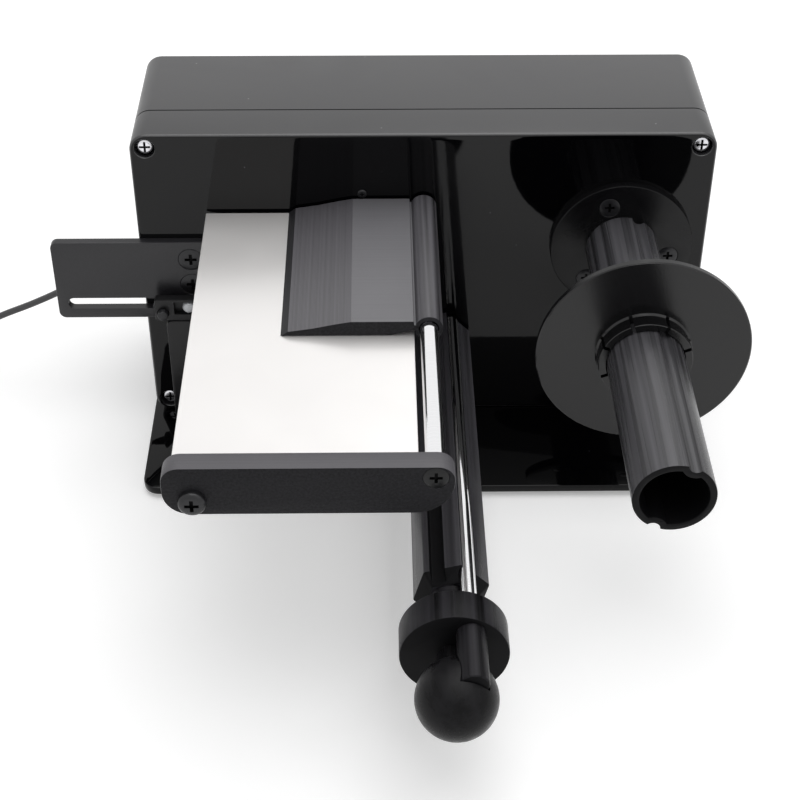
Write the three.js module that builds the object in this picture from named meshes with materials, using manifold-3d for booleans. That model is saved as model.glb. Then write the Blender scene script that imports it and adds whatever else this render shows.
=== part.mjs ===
// A desk machine that peels labels off their backing paper.
// A roll sits on the fixed tube at the right. The strip runs left under the hinged flap and over the peel
// plate, turns round the plate's left edge and winds onto the motor-driven spindle below.
// X runs along the enclosure, Y from the front to the back, Z up. Lengths are in millimetres.

import * as THREE from "three";
import { mergeVertices } from "three/addons/utils/BufferGeometryUtils.js";
import Module from "manifold-3d";

const wasm = await Module();
wasm.setup();

// General clearances
const slideGap = 0.3; // radial play of pieces that slide or turn on each other
const screwGap = 0.2; // radial play of screws in their holes
const overrun = 1; // how far every cut runs past the faces that it opens
const cornerSteps = 3; // half the number of facets of a rounded corner
const roundSides = 32; // sides of the larger round pieces
const smallSides = 16; // sides of screws and other small round pieces
const hexSides = 6;
const panShoulderShare = 0.6; // flat part of a pan head, as a share of its radius and height

// Enclosure, whose lid faces the front with its outer face at y = 0
const boxWidth = 200;
const boxHeight = 118;
const boxDepth = 59;
const lidDepth = 17.5;
const boxWall = 2.5;
const lidWall = 3;
const boxCorner = 6; // radius of the four long edges
const lidEdge = 1; // rounding of the lid's front edge
const caseEdge = 1.2; // rounding of the case's rear edge
const seamStep = 0.5; // depth and height of the shadow groove at the seam
const postRadius = 5; // moulded screw posts in the corners
const lidScrewInset = 5.2; // from the sides and from the top and bottom
const lidScrewSink = 1.2;
const lidScrewHeadRadius = 3;
const lidScrewHeadHeight = 2;
const lidScrewShankRadius = 1.5;
const lidScrewLength = 26;
const lidScrewWell = 0.5; // radial room round a head in its counterbore

// Base plate and feet
const footHeight = 2;
const footRadius = 6;
const footInset = 13;
const baseThickness = 3;
const baseSide = 1; // how far the plate stands out beside the enclosure
const baseFront = 45.5; // how far it reaches in front of the lid
const baseBack = 1;
const baseCorner = 6;
const baseScrewInset = 22; // from the enclosure's ends
const baseScrewHeadRadius = 2.9;
const baseScrewHeadDepth = 1.7;
const baseScrewShankRadius = 1.5;
const baseScrewLength = 10;
const baseBossRadius = 4;
const baseBossHeight = 7;
const baseScrewShare = 0.25; // place of a screw along the case, as a share of its depth from either end

// Guide rod on which the flap swings, and the spacer rod below the peel plate
const rodRadius = 2.9;
const guideX = 0;
const guideDrop = 27.5; // of the guide rod's axis below the enclosure's top
const spacerInset = 31.2; // of the spacer rod's axis from the enclosure's left end
const spacerGap = 0.5; // between the spacer rod and the peel plate
const rodScrewShankRadius = 1.6;
const rodScrewHeadRadius = 4.1;
const rodScrewHeadHeight = 2.4;
const rodScrewReach = 10; // length of thread inside a rod
const rodBoreSpare = 4; // depth of a rod's bore beyond its screw

// Peel plate
const plateDrop = 2.5; // of its top below the guide rod's axis
const plateThickness = 2;
const plateOverhang = 6.7; // of its left edge beyond the spacer rod's axis
const noseRun = 4.5; // width of the bevel under the peeling edge
const noseThickness = 0.7;
const plateRearGap = 1.4; // between the plate and the lid
const plateSeat = 1.5; // how deep the plate sits in the end plate's groove
const plateSeatGap = 0.15;
const railHeight = 8;
const railDepth = 8;
const railInset = 4;

// End plate at the outer ends of the rods
const rodLength = 138; // from the lid to the end plate
const endThickness = 7;
const endRise = 4; // of its top above the guide rod's axis
const endHeight = 17.1;
const endOverhang = 1.8; // beyond the peel plate's left edge
const endReach = 5.5; // to the right of the guide rod's axis
const endCornerShares = [0.46, 0.67, 0.29, 0.31]; // radii from lower left round, as shares of its height

// Press flap
const flapBack = 1; // distance of its rear end from the lid
const flapLength = 73;
const flapWall = 1.25; // wall of the barrel round the guide rod
const flapPlateGap = 0.15; // between the flap and the peel plate, where the strip runs
const flapReach = 46.6; // from the hinge axis to the free tip
const flapThickness = 5.3; // at the flat part beside the hinge
const flapTopShares = [[0.526, 1], [0.627, 0.84], [0.788, 0.53], [0.951, 0.31]]; // of the reach and of the thickness
const flapArchShare = 0.264; // where the underside starts to rise, as a share of the reach
const flapGroove = 0.4; // width of the groove beside the barrel
const flapNeck = 1.7; // thickness of the web that joins the barrel
const flapNeckAngle = 20; // of the groove's floor on the barrel, above the horizontal
const faceScrewOffset = 21.2; // of its axis to the left of the hinge axis
const faceScrewLift = 1.4; // of its axis above the flap's top
const faceScrewProud = 0.6;
const faceScrewHeadRadius = 1.6;
const faceScrewShankRadius = 1;
const faceScrewLength = 6;

// Sensor bracket with its adjustment slot
const bracketThickness = 3;
const bracketOverhang = 31; // beyond the enclosure's left end
const bracketSeat = 30; // width that lies on the lid
const bracketDrop = 9; // of its top below the peel plate
const bracketHeight = 32;
const bracketCorner = 2.5;
const slotLeftMargin = 3.7;
const slotRightMargin = 6;
const slotLift = 6.3; // of the slot's centre line above the bracket's bottom
const slotPlay = 0.4; // between the stud and the slot's sides
const slotEndShare = 0.98; // radius of the slot's ends, as a share of half its height
const bracketScrewHeadRadius = 4.3;
const bracketScrewHeadDepth = 2.3;
const bracketScrewShankRadius = 1.9;
const bracketScrewLength = 9;
const bracketScrewInset = 12; // from the bracket's right end
const bracketScrewDrop = 7.2; // of the upper screw below the bracket's top
const bracketScrewPitch = 10.5;

// Sensor carrier that slides along the slot
const carrierStandoff = 2.8; // gap between bracket and carrier, filled by the lock nut
const carrierThickness = 3.5;
const carrierWidth = 23.5;
const carrierRise = 5.3; // above the slot's centre line
const carrierDrop = 3.4; // below it
const carrierCorner = 0.8;
const studRadius = 1.9;
const studPlace = 34.7; // of its axis, from the slot's left end
const studMargin = 2.9; // of its axis, from the carrier's left end
const studProud = 2.4; // beyond the carrier's front face
const studRecess = 0.4; // of its inner end, from the lid
const nutAcross = 7;
const windowStart = 3.9; // of the window's left side, from the stud's axis
const windowMargin = 3; // wall left at its right side
const windowSill = 2.7; // wall left below it
const windowRoof = 0.7; // wall left above it
const windowDepth = 2.2;
const lensRadius = 2.2;
const lensBase = 1;
const lensInset = 5.2; // of the first lens's axis, from the window's left side
const lensGap = 0.6; // between the two lenses
const coverInset = 3.7; // of its left side, from the carrier's left end
const coverOverhang = 10; // beyond the carrier's right end
const coverFloorGap = 0.7; // above the base plate
const coverCorner = 2;
const coverProud = 0.5; // in front of the carrier's face

// Supply spool
const spoolInset = 30; // of its axis, from the enclosure's right end
const spoolDrop = 44; // of its axis, below the enclosure's top
const spoolTubeRadius = 12.5;
const spoolTubeWall = 2.2;
const spoolTubeLength = 135.8; // from the lid
const spoolFlangeRadius = 25;
const spoolFlangeThickness = 3;
const fluteCount = 2;
const fluteFirstAngle = 66;
const fluteRadius = 2.4;
const fluteOffset = 0.8; // of a flute's centre outside the tube's surface
const spoolScrewMargin = 4.7; // of the screws' axes, from the tube's surface
const spoolScrewCount = 3;
const spoolScrewFirstAngle = -12;
const spoolScrewHeadRadius = 3.5;
const spoolScrewHeadDepth = 2.1;
const spoolScrewShankRadius = 1.6;
const spoolScrewLength = 10;

// Sliding disc on the supply tube
const discRadius = 35;
const discThickness = 2.5;
const discPlace = 65; // of its front face, from the lid
const hubWall = 2.4;
const hubLength = 5.5;
const hubSlits = 8;
const hubSlitWidth = 1.2;
const discSides = 56;

// Take-up spindle
const spindleOffset = 5.9; // of its axis, to the right of the guide rod's
const spindleZ = 33.7; // of its axis, above the base plate
const spindleRadius = 12.1; // over the corners of the six-sided body
const spindleCorner = 15; // angle of its first corner
const spindleStart = 1.5; // gap to the lid
const spindleEnd = 133;
const spindleChamfer = 4;
const spindleNoseShare = 0.7;
const spindleBoreRadius = 5.3;
const spindleBoreDepth = 25;
const slitWidth = 4.7; // groove that takes the paper's end
const slitDepth = 4.2;
const slitShift = -1.8;
const slitAngle = 105;
const clipRadius = 2.45;
const clipSink = 1.7; // of the clip rod's axis, inside the corners of the body
const clipAngle = 63.5;
const shaftRadius = 3;
const shaftReach = 18; // inside the spindle
const bushRadius = 7.7;

// Puller: collar, clip rod and ball knob, which slide off the spindle together
const collarStandoff = 11.3; // of its rear face, from the spindle's end
const collarThickness = 11.2;
const collarRadius = 16.4;
const plugEndGap = 3; // between the collar's plug and the floor of the spindle's bore
const shoulderRadius = 7.2;
const socketRadius = 4.5;
const socketLength = 14.8;
const socketDepth = 8.5; // of the clip rod, beyond the collar's face
const clipStart = 4; // gap between the clip rod's tip and the lid
const neckRadius = 5.4;
const ballRadius = 12.3;
const ballStandoff = 16.5; // of its centre, from the collar's front face
const ballFlatShare = 0.93; // distance of the small flat from the centre, in radii
const ballFlatAngle = 232;
const ballSides = 28;
const ballRings = 20;

// Drive inside the enclosure
const mountSize = 46;
const mountThickness = 3;
const gearboxRadius = 18;
const gearboxLength = 24;
const motorRadius = 15;
const motorRearGap = 6.5; // behind the motor
const boardWidth = 52;
const boardHeight = 70;
const boardSideGap = 12; // from the enclosure's left end
const boardThickness = 1.6;
const boardInset = 6;
const boardPostHeight = 10;
const boardPostRadius = 3;

// Power inlet and its plug, on the left wall
const inletSetback = 6.5; // of its axis, behind the seam
const inletZ = 42.5;
const inletRadius = 4;
const inletFlangeRadius = 5.2;
const inletFlange = 1.2;
const inletDepth = 11;
const inletBoreRadius = 2.8;
const plugTipRadius = 2.4;
const plugTipLength = 9;
const plugBodyRadius = 4.6;
const plugBodyLength = 13;
const reliefLength = 8;
const reliefRadius = 2.6;
const reliefTip = 0.4; // wall of a cord relief at its thin end

// Cord, its coil and the power supply on its far end
const cordRadius = 1.25;
const cordSides = 8;
const cordSteps = 40;
const tailSteps = 8;
const tailLead = 4; // straight length at either end of the cord's tail
const cordGap = 0.3;
const cordRest = 0.1; // height of the cord's underside above the standing surface
const coilX = -238;
const coilY = 12;
const coilTurns = 12.25;
const coilLayers = 4;
const coilMiddleDiameter = 27.5;
const coilPitch = 3.1; // between turns of one layer
const coilRise = 3; // between layers
const coilStepsPerTurn = 24;
const coilSides = 6;
const coilClimb = 0.5; // turns that the cord takes to climb to the next layer
const coilLead = 2.5; // straight length at either end of the coil
const gapSamples = 3; // points per step when the coil's gaps are measured
const supplyWidth = 36;
const supplyLength = 60;
const supplyHeight = 28;
const supplyCorner = 4;
const supplyFront = -35; // of the end that the cord enters
const supplyCordHeight = 6;
const supplyReliefRadius = 2.8;
const supplyReliefLength = 12;
const pinRadius = 2;
const pinLength = 18;
const pinPitch = 19;
const pinInset = 14;

// Places worked out from the sizes above
const deck = footHeight + baseThickness;
const up = (height) => deck + height;
const halfBox = boxWidth / 2;
const half = (length) => length / 2;
const radians = THREE.MathUtils.degToRad;
const around = (radius, degrees) => {
  return [radius * Math.cos(radians(degrees)), radius * Math.sin(radians(degrees))];
};
const caseFloor = boxDepth - boxWall;
const guideZ = boxHeight - guideDrop;
const barrelRadius = rodRadius + slideGap + flapWall;
const plateTop = guideZ - plateDrop;
const plateBottom = plateTop - plateThickness;
const plateRight = guideX - barrelRadius - flapPlateGap;
const spacerX = -halfBox + spacerInset;
const spacerZ = plateBottom - spacerGap - rodRadius;
const plateLeft = spacerX - plateOverhang;
const endFront = -rodLength - endThickness;
const endTop = guideZ + endRise;
const endBottom = endTop - endHeight;
const endLeft = plateLeft - endOverhang;
const endRight = guideX + endReach;
const bracketLeft = -halfBox - bracketOverhang;
const bracketRight = -halfBox + bracketSeat;
const bracketTop = plateBottom - bracketDrop;
const bracketBottom = bracketTop - bracketHeight;
const slotLeft = bracketLeft + slotLeftMargin;
const slotRight = bracketRight - slotRightMargin;
const slotCentre = bracketBottom + slotLift;
const slotHeight = 2 * (studRadius + slotPlay);
const studX = slotLeft + studPlace;
const carrierBack = -bracketThickness - carrierStandoff;
const carrierFront = carrierBack - carrierThickness;
const carrierLeft = studX - studMargin;
const carrierRight = carrierLeft + carrierWidth;
const carrierTop = slotCentre + carrierRise;
const carrierBottom = slotCentre - carrierDrop;
const spoolX = halfBox - spoolInset;
const spoolZ = boxHeight - spoolDrop;
const spindleX = guideX + spindleOffset;
const spindleNose = -spindleEnd - spindleChamfer;
const [clipX, clipZ] = around(spindleRadius - clipSink, clipAngle);
const collarBack = spindleNose - collarStandoff;
const collarFront = collarBack - collarThickness;
const ballY = collarFront - ballStandoff;
const inletY = lidDepth + inletSetback;

// Looks that several pieces share
const glossBlack = { color: 0x0b0b0d, roughness: 0.12, metalness: 0 };
const printBlack = { color: 0x1b1a1d, roughness: 0.6, metalness: 0 };
const acrylicBlack = { color: 0x08080a, roughness: 0.05, metalness: 0 };
const satinMetal = { color: 0xe4e2df, roughness: 0.35, metalness: 0.6 };
const chrome = { color: 0xd8d8dc, roughness: 0.08, metalness: 1 };
const zinc = { color: 0xc9c9cc, roughness: 0.25, metalness: 1 };
const blackScrew = { color: 0x2a2a2d, roughness: 0.4, metalness: 0.7 };
const rubber = { color: 0x151515, roughness: 0.85, metalness: 0 };
const clearLens = { color: 0xdfe6ea, roughness: 0.05, metalness: 0 };
const boardGreen = { color: 0x1d5a34, roughness: 0.5, metalness: 0 };
const motorSteel = { color: 0x8d8f93, roughness: 0.4, metalness: 0.9 };
const vinyl = { color: 0x101012, roughness: 0.5, metalness: 0 };

const machine = new THREE.Group();

function piece(name, shape, look) {
  const geometry = shape.isBufferGeometry ? shape : geometryOf(shape);
  const mesh = new THREE.Mesh(geometry, new THREE.MeshStandardMaterial(look));
  mesh.name = name;
  machine.add(mesh);
  return mesh;
}

// A closed geometry as a solid, and back
function solid(geometry) {
  const bare = geometry.clone();
  bare.deleteAttribute("normal");
  bare.deleteAttribute("uv");
  const merged = mergeVertices(bare, 1e-4);
  const vertProperties = merged.attributes.position.array;
  const triVerts = new Uint32Array(merged.index.array);
  return new wasm.Manifold(new wasm.Mesh({ numProp: 3, vertProperties, triVerts }));
}

function geometryOf(manifold) {
  const { numProp, numVert, vertProperties, triVerts } = manifold.getMesh();
  const position = new Float32Array(numVert * 3);
  for (let i = 0; i < numVert; i++) {
    position.set(vertProperties.subarray(i * numProp, i * numProp + 3), i * 3);
  }
  const geometry = new THREE.BufferGeometry();
  geometry.setAttribute("position", new THREE.BufferAttribute(position, 3));
  geometry.setIndex(new THREE.BufferAttribute(triVerts, 1));
  const flat = geometry.toNonIndexed();
  flat.computeVertexNormals();
  return flat;
}

// A block between two corners
function block(left, right, front, back, bottom, top) {
  const geometry = new THREE.BoxGeometry(right - left, back - front, top - bottom);
  return geometry.translate(half(left + right), half(front + back), half(bottom + top));
}

// A round bar or cone along Y, from its front end to its rear end
function barY(frontRadius, rearRadius, front, back, x, z, sides) {
  const geometry = new THREE.CylinderGeometry(rearRadius, frontRadius, back - front, sides);
  return geometry.translate(x, half(front + back), z);
}

// A round bar or cone along Z
function barZ(bottomRadius, topRadius, bottom, top, x, y, sides) {
  const geometry = new THREE.CylinderGeometry(topRadius, bottomRadius, top - bottom, sides);
  return geometry.rotateX(radians(90)).translate(x, y, half(bottom + top));
}

// A round bar or cone along X
function barX(leftRadius, rightRadius, left, right, y, z, sides) {
  const geometry = new THREE.CylinderGeometry(rightRadius, leftRadius, right - left, sides);
  return geometry.rotateZ(radians(-90)).translate(half(left + right), y, z);
}

// A profile drawn in X and Z, run along Y
function alongY(shape, front, back, options = {}) {
  const settings = { depth: back - front, bevelEnabled: false, curveSegments: cornerSteps, ...options };
  return new THREE.ExtrudeGeometry(shape, settings).rotateX(radians(90)).translate(0, back, 0);
}

// A profile drawn in X and Y, run along Z
function alongZ(shape, bottom, top, options = {}) {
  const settings = { depth: top - bottom, bevelEnabled: false, curveSegments: cornerSteps, ...options };
  return new THREE.ExtrudeGeometry(shape, settings).translate(0, 0, bottom);
}

// A rectangle with a radius of its own at each corner, counted from lower left round to upper left
function outline(left, right, bottom, top, radii) {
  const [a, b, c, d] = Array.isArray(radii) ? radii : [radii, radii, radii, radii];
  const shape = new THREE.Shape();
  shape.absarc(left + a, bottom + a, a, Math.PI, 1.5 * Math.PI, false);
  shape.absarc(right - b, bottom + b, b, 1.5 * Math.PI, 2 * Math.PI, false);
  shape.absarc(right - c, top - c, c, 0, 0.5 * Math.PI, false);
  shape.absarc(left + d, top - d, d, 0.5 * Math.PI, Math.PI, false);
  return shape;
}

// A turned piece about a Y axis, from radius and depth pairs that start and end on the axis
function turned(pairs, x, y, z, sides) {
  const profile = pairs.map(([radius, depth]) => new THREE.Vector2(radius, depth));
  return new THREE.LatheGeometry(profile, sides).translate(x, y, z);
}

// Screws point along +Y from their head's seat
function sunkScrew(head, headDepth, shank, length) {
  return [[0, 0], [head, 0], [shank, headDepth], [shank, length], [0, length]];
}

function panScrew(head, headHeight, shank, length) {
  return [
    [0, -headHeight],
    [head * panShoulderShare, -headHeight],
    [head, -headHeight * panShoulderShare],
    [head, 0],
    [shank, 0],
    [shank, length],
    [0, length],
  ];
}

// The hole for a countersunk screw whose head is flush at the given face
function sunkHole(head, headDepth, shank, length, x, face, z) {
  const cone = [
    [0, -overrun],
    [head + screwGap, -overrun],
    [head + screwGap, 0],
    [shank + screwGap, headDepth],
    [shank + screwGap, length],
    [0, length],
  ];
  return solid(turned(cone, x, face, z, smallSides));
}

// A round solid along Y, to add or to cut away
function peg(radius, front, back, x, z, sides = smallSides) {
  return solid(barY(radius, radius, front, back, x, z, sides));
}

// Enclosure
function lidScrewPlaces() {
  const x = halfBox - lidScrewInset;
  const low = up(lidScrewInset);
  const high = up(boxHeight - lidScrewInset);
  return [[-x, low], [x, low], [x, high], [-x, high]];
}

function roundedBox(front, back, inset, edge, frontEdge, backEdge) {
  const left = -halfBox + inset + edge;
  const bottom = up(inset + edge);
  const shape = outline(left, -left, bottom, up(boxHeight - inset - edge), boxCorner - inset - edge);
  const bevel = { bevelEnabled: edge > 0, bevelThickness: edge, bevelSize: edge };
  bevel.bevelSegments = cornerSteps;
  const reach = { front: frontEdge ? edge : -overrun, back: backEdge ? edge : -overrun };
  return solid(alongY(shape, front + reach.front, back - reach.back, bevel));
}

function corePocket(front, back) {
  return roundedBox(front - overrun, back + overrun, boxWall, 0, false, false);
}

const slice = (front, back) => solid(block(-boxWidth, boxWidth, front, back, -boxWidth, boxWidth));

function seamGroove() {
  const whole = roundedBox(lidDepth - seamStep, lidDepth, 0, 0, false, false);
  const core = roundedBox(lidDepth - seamStep, lidDepth, seamStep, 0, false, false);
  return whole.subtract(core).intersect(slice(lidDepth - seamStep, lidDepth + overrun));
}

function frontLid() {
  let lid = roundedBox(0, lidDepth, 0, lidEdge, true, false).intersect(slice(-overrun, lidDepth));
  lid = lid.subtract(corePocket(lidWall, lidDepth).intersect(slice(lidWall, lidDepth + overrun)));
  const body = roundedBox(0, lidDepth, 0, lidEdge, true, false).intersect(slice(lidWall, lidDepth));
  for (const [x, z] of lidScrewPlaces()) {
    lid = lid.add(peg(postRadius, lidWall - overrun, lidDepth, x, z).intersect(body));
  }
  for (const [x, z] of lidScrewPlaces()) {
    const well = lidScrewSink + lidScrewHeadHeight;
    lid = lid.subtract(peg(lidScrewHeadRadius + lidScrewWell, -overrun, well, x, z));
    lid = lid.subtract(peg(lidScrewShankRadius + screwGap, 0, lidDepth + overrun, x, z));
  }
  for (const [x, z] of [[guideX, guideZ], [spacerX, spacerZ]]) {
    lid = lid.subtract(peg(rodScrewShankRadius + screwGap, -overrun, lidWall + overrun, x, up(z)));
  }
  for (const [x, z] of bracketScrewPlaces()) {
    lid = lid.subtract(peg(bracketScrewShankRadius + screwGap, -overrun, lidWall + overrun, x, z));
  }
  for (const [x, z] of spoolScrewPlaces()) {
    lid = lid.subtract(peg(spoolScrewShankRadius + screwGap, -overrun, lidWall + overrun, x, z));
  }
  const [faceX, faceZ] = faceScrewPlace();
  lid = lid.subtract(peg(faceScrewShankRadius + screwGap, -overrun, lidWall + overrun, faceX, faceZ));
  const bushHole = [spindleX, up(spindleZ), roundSides];
  lid = lid.subtract(peg(bushRadius + screwGap, -overrun, lidWall + overrun, ...bushHole));
  return lid.subtract(seamGroove());
}

function baseScrewPlaces() {
  const x = halfBox - baseScrewInset;
  const depth = boxDepth - lidDepth;
  const front = lidDepth + depth * baseScrewShare;
  const back = boxDepth - depth * baseScrewShare;
  return [[-x, front], [x, front], [x, back], [-x, back]];
}

const boardLeft = -halfBox + boardSideGap;
const boardRight = boardLeft + boardWidth;
const boardBottom = half(boxHeight - boardHeight);
const boardTop = boardBottom + boardHeight;

function boardPostPlaces() {
  const places = [];
  for (const x of [boardLeft + boardInset, boardRight - boardInset]) {
    for (const z of [up(boardBottom + boardInset), up(boardTop - boardInset)]) {
      places.push([x, z]);
    }
  }
  return places;
}

function rearCase() {
  const behindSeam = slice(lidDepth, boxDepth + overrun);
  const outer = roundedBox(lidDepth, boxDepth, 0, caseEdge, false, true).intersect(behindSeam);
  const core = corePocket(lidDepth, caseFloor).intersect(slice(lidDepth - overrun, caseFloor));
  let shell = outer.subtract(core);
  for (const [x, z] of lidScrewPlaces()) {
    shell = shell.add(peg(postRadius, lidDepth, caseFloor + overrun, x, z).intersect(outer));
  }
  for (const [x, y] of baseScrewPlaces()) {
    const [foot, top] = [up(half(boxWall)), up(baseBossHeight)];
    shell = shell.add(solid(barZ(baseBossRadius, baseBossRadius, foot, top, x, y, smallSides)));
  }
  for (const [x, z] of boardPostPlaces()) {
    shell = shell.add(peg(boardPostRadius, caseFloor - boardPostHeight, caseFloor + half(boxWall), x, z));
  }
  const screwEnd = lidScrewSink + lidScrewHeadHeight + lidScrewLength + overrun;
  for (const [x, z] of lidScrewPlaces()) {
    shell = shell.subtract(peg(lidScrewShankRadius + screwGap, lidDepth - overrun, screwEnd, x, z));
  }
  for (const [x, y] of baseScrewPlaces()) {
    const radius = baseScrewShankRadius + screwGap;
    const bore = barZ(radius, radius, deck - overrun, up(baseBossHeight) + overrun, x, y, smallSides);
    shell = shell.subtract(solid(bore));
  }
  const radius = inletRadius + screwGap;
  const inside = -halfBox + boxWall + overrun;
  const through = barX(radius, radius, -halfBox - overrun, inside, inletY, up(inletZ), smallSides);
  return shell.subtract(solid(through));
}

piece("front_lid", frontLid(), glossBlack);
piece("rear_case", rearCase(), glossBlack);
lidScrewPlaces().forEach(([x, z], i) => {
  const profile = panScrew(lidScrewHeadRadius, lidScrewHeadHeight, lidScrewShankRadius, lidScrewLength);
  piece(`lid_screw_${i + 1}`, turned(profile, x, lidScrewSink + lidScrewHeadHeight, z, smallSides), zinc);
});

// Base plate, its screws and its feet
function basePlate() {
  const left = -halfBox - baseSide;
  const shape = outline(left, -left, -baseFront, boxDepth + baseBack, baseCorner);
  let plate = solid(alongZ(shape, footHeight, deck));
  for (const [x, y] of baseScrewPlaces()) {
    const wide = baseScrewHeadRadius + screwGap;
    const narrow = baseScrewShankRadius + screwGap;
    const seat = footHeight + baseScrewHeadDepth;
    const shank = barZ(narrow, narrow, footHeight - overrun, deck + overrun, x, y, smallSides);
    plate = plate.subtract(solid(shank));
    plate = plate.subtract(solid(barZ(wide, narrow, footHeight, seat, x, y, smallSides)));
  }
  return plate;
}

piece("base_plate", basePlate(), acrylicBlack);
baseScrewPlaces().forEach(([x, y], i) => {
  const profile = sunkScrew(baseScrewHeadRadius, baseScrewHeadDepth, baseScrewShankRadius, baseScrewLength);
  const screw = turned(profile, 0, 0, 0, smallSides).rotateX(radians(90)).translate(x, y, footHeight);
  piece(`base_screw_${i + 1}`, screw, blackScrew);
});
const footX = halfBox - footInset;
const footPlaces = [
  [-footX, footInset - baseFront],
  [footX, footInset - baseFront],
  [footX, boxDepth - footInset],
  [-footX, boxDepth - footInset],
];
footPlaces.forEach(([x, y], i) => {
  piece(`foot_${i + 1}`, barZ(footRadius, footRadius, 0, footHeight, x, y, roundSides), rubber);
});

// Rods and the screws in their ends
function boredRod(x, z) {
  const rod = peg(rodRadius, -rodLength, 0, x, z, roundSides);
  const bore = rodScrewShankRadius + screwGap;
  const front = peg(bore, -rodLength - overrun, -rodLength + rodScrewReach + rodBoreSpare, x, z);
  const back = peg(bore, -rodScrewReach - rodBoreSpare, overrun, x, z);
  return rod.subtract(front).subtract(back);
}

piece("guide_rod", boredRod(guideX, up(guideZ)), chrome);
piece("spacer_rod", boredRod(spacerX, up(spacerZ)), chrome);
const rodScrewSizes = [rodScrewHeadRadius, rodScrewHeadHeight, rodScrewShankRadius];
const rodScrew = panScrew(...rodScrewSizes, endThickness + rodScrewReach);
const innerScrew = panScrew(...rodScrewSizes, lidWall + rodScrewReach);
const flushScrew = sunkScrew(...rodScrewSizes, endThickness + rodScrewReach);
piece("end_screw_guide", turned(flushScrew, guideX, endFront, up(guideZ), smallSides), blackScrew);
piece("end_screw_spacer", turned(rodScrew, spacerX, endFront, up(spacerZ), smallSides), blackScrew);
for (const [name, x, z] of [["rod_screw_guide", guideX, guideZ], ["rod_screw_spacer", spacerX, spacerZ]]) {
  const screw = turned(innerScrew, 0, 0, 0, smallSides).rotateX(radians(180));
  piece(name, screw.translate(x, lidWall, up(z)), blackScrew);
}

// End plate, which also guides the strip
function endPlate() {
  const radii = endCornerShares.map((share) => share * endHeight);
  const shape = outline(endLeft, endRight, up(endBottom), up(endTop), radii);
  let plate = solid(alongY(shape, endFront, -rodLength, { curveSegments: 2 * cornerSteps }));
  const sunk = [...rodScrewSizes, endThickness + overrun];
  plate = plate.subtract(sunkHole(...sunk, guideX, endFront, up(guideZ)));
  const bore = rodScrewShankRadius + screwGap;
  plate = plate.subtract(peg(bore, endFront - overrun, overrun - rodLength, spacerX, up(spacerZ)));
  const groove = block(
    plateLeft - plateSeatGap,
    plateRight + plateSeatGap,
    -rodLength - plateSeat - plateSeatGap,
    -rodLength + overrun,
    up(plateBottom - plateSeatGap),
    up(plateTop + plateSeatGap),
  );
  return plate.subtract(solid(groove));
}

piece("end_plate", endPlate(), printBlack);

// Peel plate with its thin left edge, and the rail that carries it at the lid
function peelPlate() {
  const shape = new THREE.Shape();
  const nose = half(noseThickness);
  shape.moveTo(plateRight, up(plateBottom));
  shape.lineTo(plateRight, up(plateTop));
  shape.lineTo(plateLeft + nose, up(plateTop));
  shape.absarc(plateLeft + nose, up(plateTop) - nose, nose, half(Math.PI), Math.PI);
  shape.lineTo(plateLeft, up(plateTop) - noseThickness);
  shape.lineTo(plateLeft + noseRun, up(plateBottom));
  return alongY(shape, -rodLength - plateSeat, -plateRearGap);
}

piece("peel_plate", peelPlate(), satinMetal);
const railLeft = spacerX + rodRadius + railInset;
const railRight = plateRight - railInset;
const railBottom = up(plateBottom - railHeight);
piece("rear_rail", block(railLeft, railRight, -railDepth, 0, railBottom, up(plateBottom)), printBlack);

// Press flap, swinging about the guide rod
function pressFlap() {
  const floor = up(plateTop) + flapPlateGap;
  const roof = floor + flapThickness;
  const axis = up(guideZ);
  const grooveFloor = axis + barrelRadius * Math.sin(radians(flapNeckAngle));
  const shape = new THREE.Shape();
  shape.moveTo(guideX - flapReach, floor);
  shape.lineTo(guideX - flapReach * flapArchShare, floor);
  shape.lineTo(guideX - barrelRadius * Math.cos(radians(flapNeckAngle)), grooveFloor - flapNeck);
  shape.lineTo(guideX - rodRadius, grooveFloor - flapNeck);
  shape.lineTo(guideX - rodRadius, grooveFloor);
  shape.lineTo(guideX - barrelRadius - half(flapGroove), grooveFloor);
  shape.lineTo(guideX - barrelRadius - flapGroove, roof);
  for (const [reachShare, heightShare] of flapTopShares) {
    shape.lineTo(guideX - flapReach * reachShare, floor + flapThickness * heightShare);
  }
  const front = -flapBack - flapLength;
  let flap = solid(alongY(shape, front, -flapBack));
  flap = flap.add(peg(barrelRadius, front, -flapBack, guideX, axis, roundSides));
  return flap.subtract(peg(rodRadius + slideGap, front - overrun, overrun, guideX, axis, roundSides));
}

piece("press_flap", pressFlap(), printBlack);

function faceScrewPlace() {
  return [guideX - faceScrewOffset, up(plateTop) + flapPlateGap + flapThickness + faceScrewLift];
}
const [faceX, faceZ] = faceScrewPlace();
const faceScrew = panScrew(faceScrewHeadRadius, faceScrewProud, faceScrewShankRadius, faceScrewLength);
piece("face_screw", turned(faceScrew, faceX, 0, faceZ, smallSides), zinc);

// Sensor bracket
function bracketScrewPlaces() {
  const x = bracketRight - bracketScrewInset;
  const upper = up(bracketTop - bracketScrewDrop);
  return [[x, upper], [x, upper - bracketScrewPitch]];
}

function sensorBracket() {
  const shape = outline(bracketLeft, bracketRight, up(bracketBottom), up(bracketTop), bracketCorner);
  let plate = solid(alongY(shape, -bracketThickness, 0));
  const bottom = up(slotCentre) - half(slotHeight);
  const slot = outline(slotLeft, slotRight, bottom, bottom + slotHeight, half(slotHeight) * slotEndShare);
  plate = plate.subtract(solid(alongY(slot, -bracketThickness - overrun, overrun)));
  for (const [x, z] of bracketScrewPlaces()) {
    const head = [bracketScrewHeadRadius, bracketScrewHeadDepth];
    const shank = [bracketScrewShankRadius, bracketThickness + overrun];
    plate = plate.subtract(sunkHole(...head, ...shank, x, -bracketThickness, z));
  }
  return plate;
}

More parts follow.
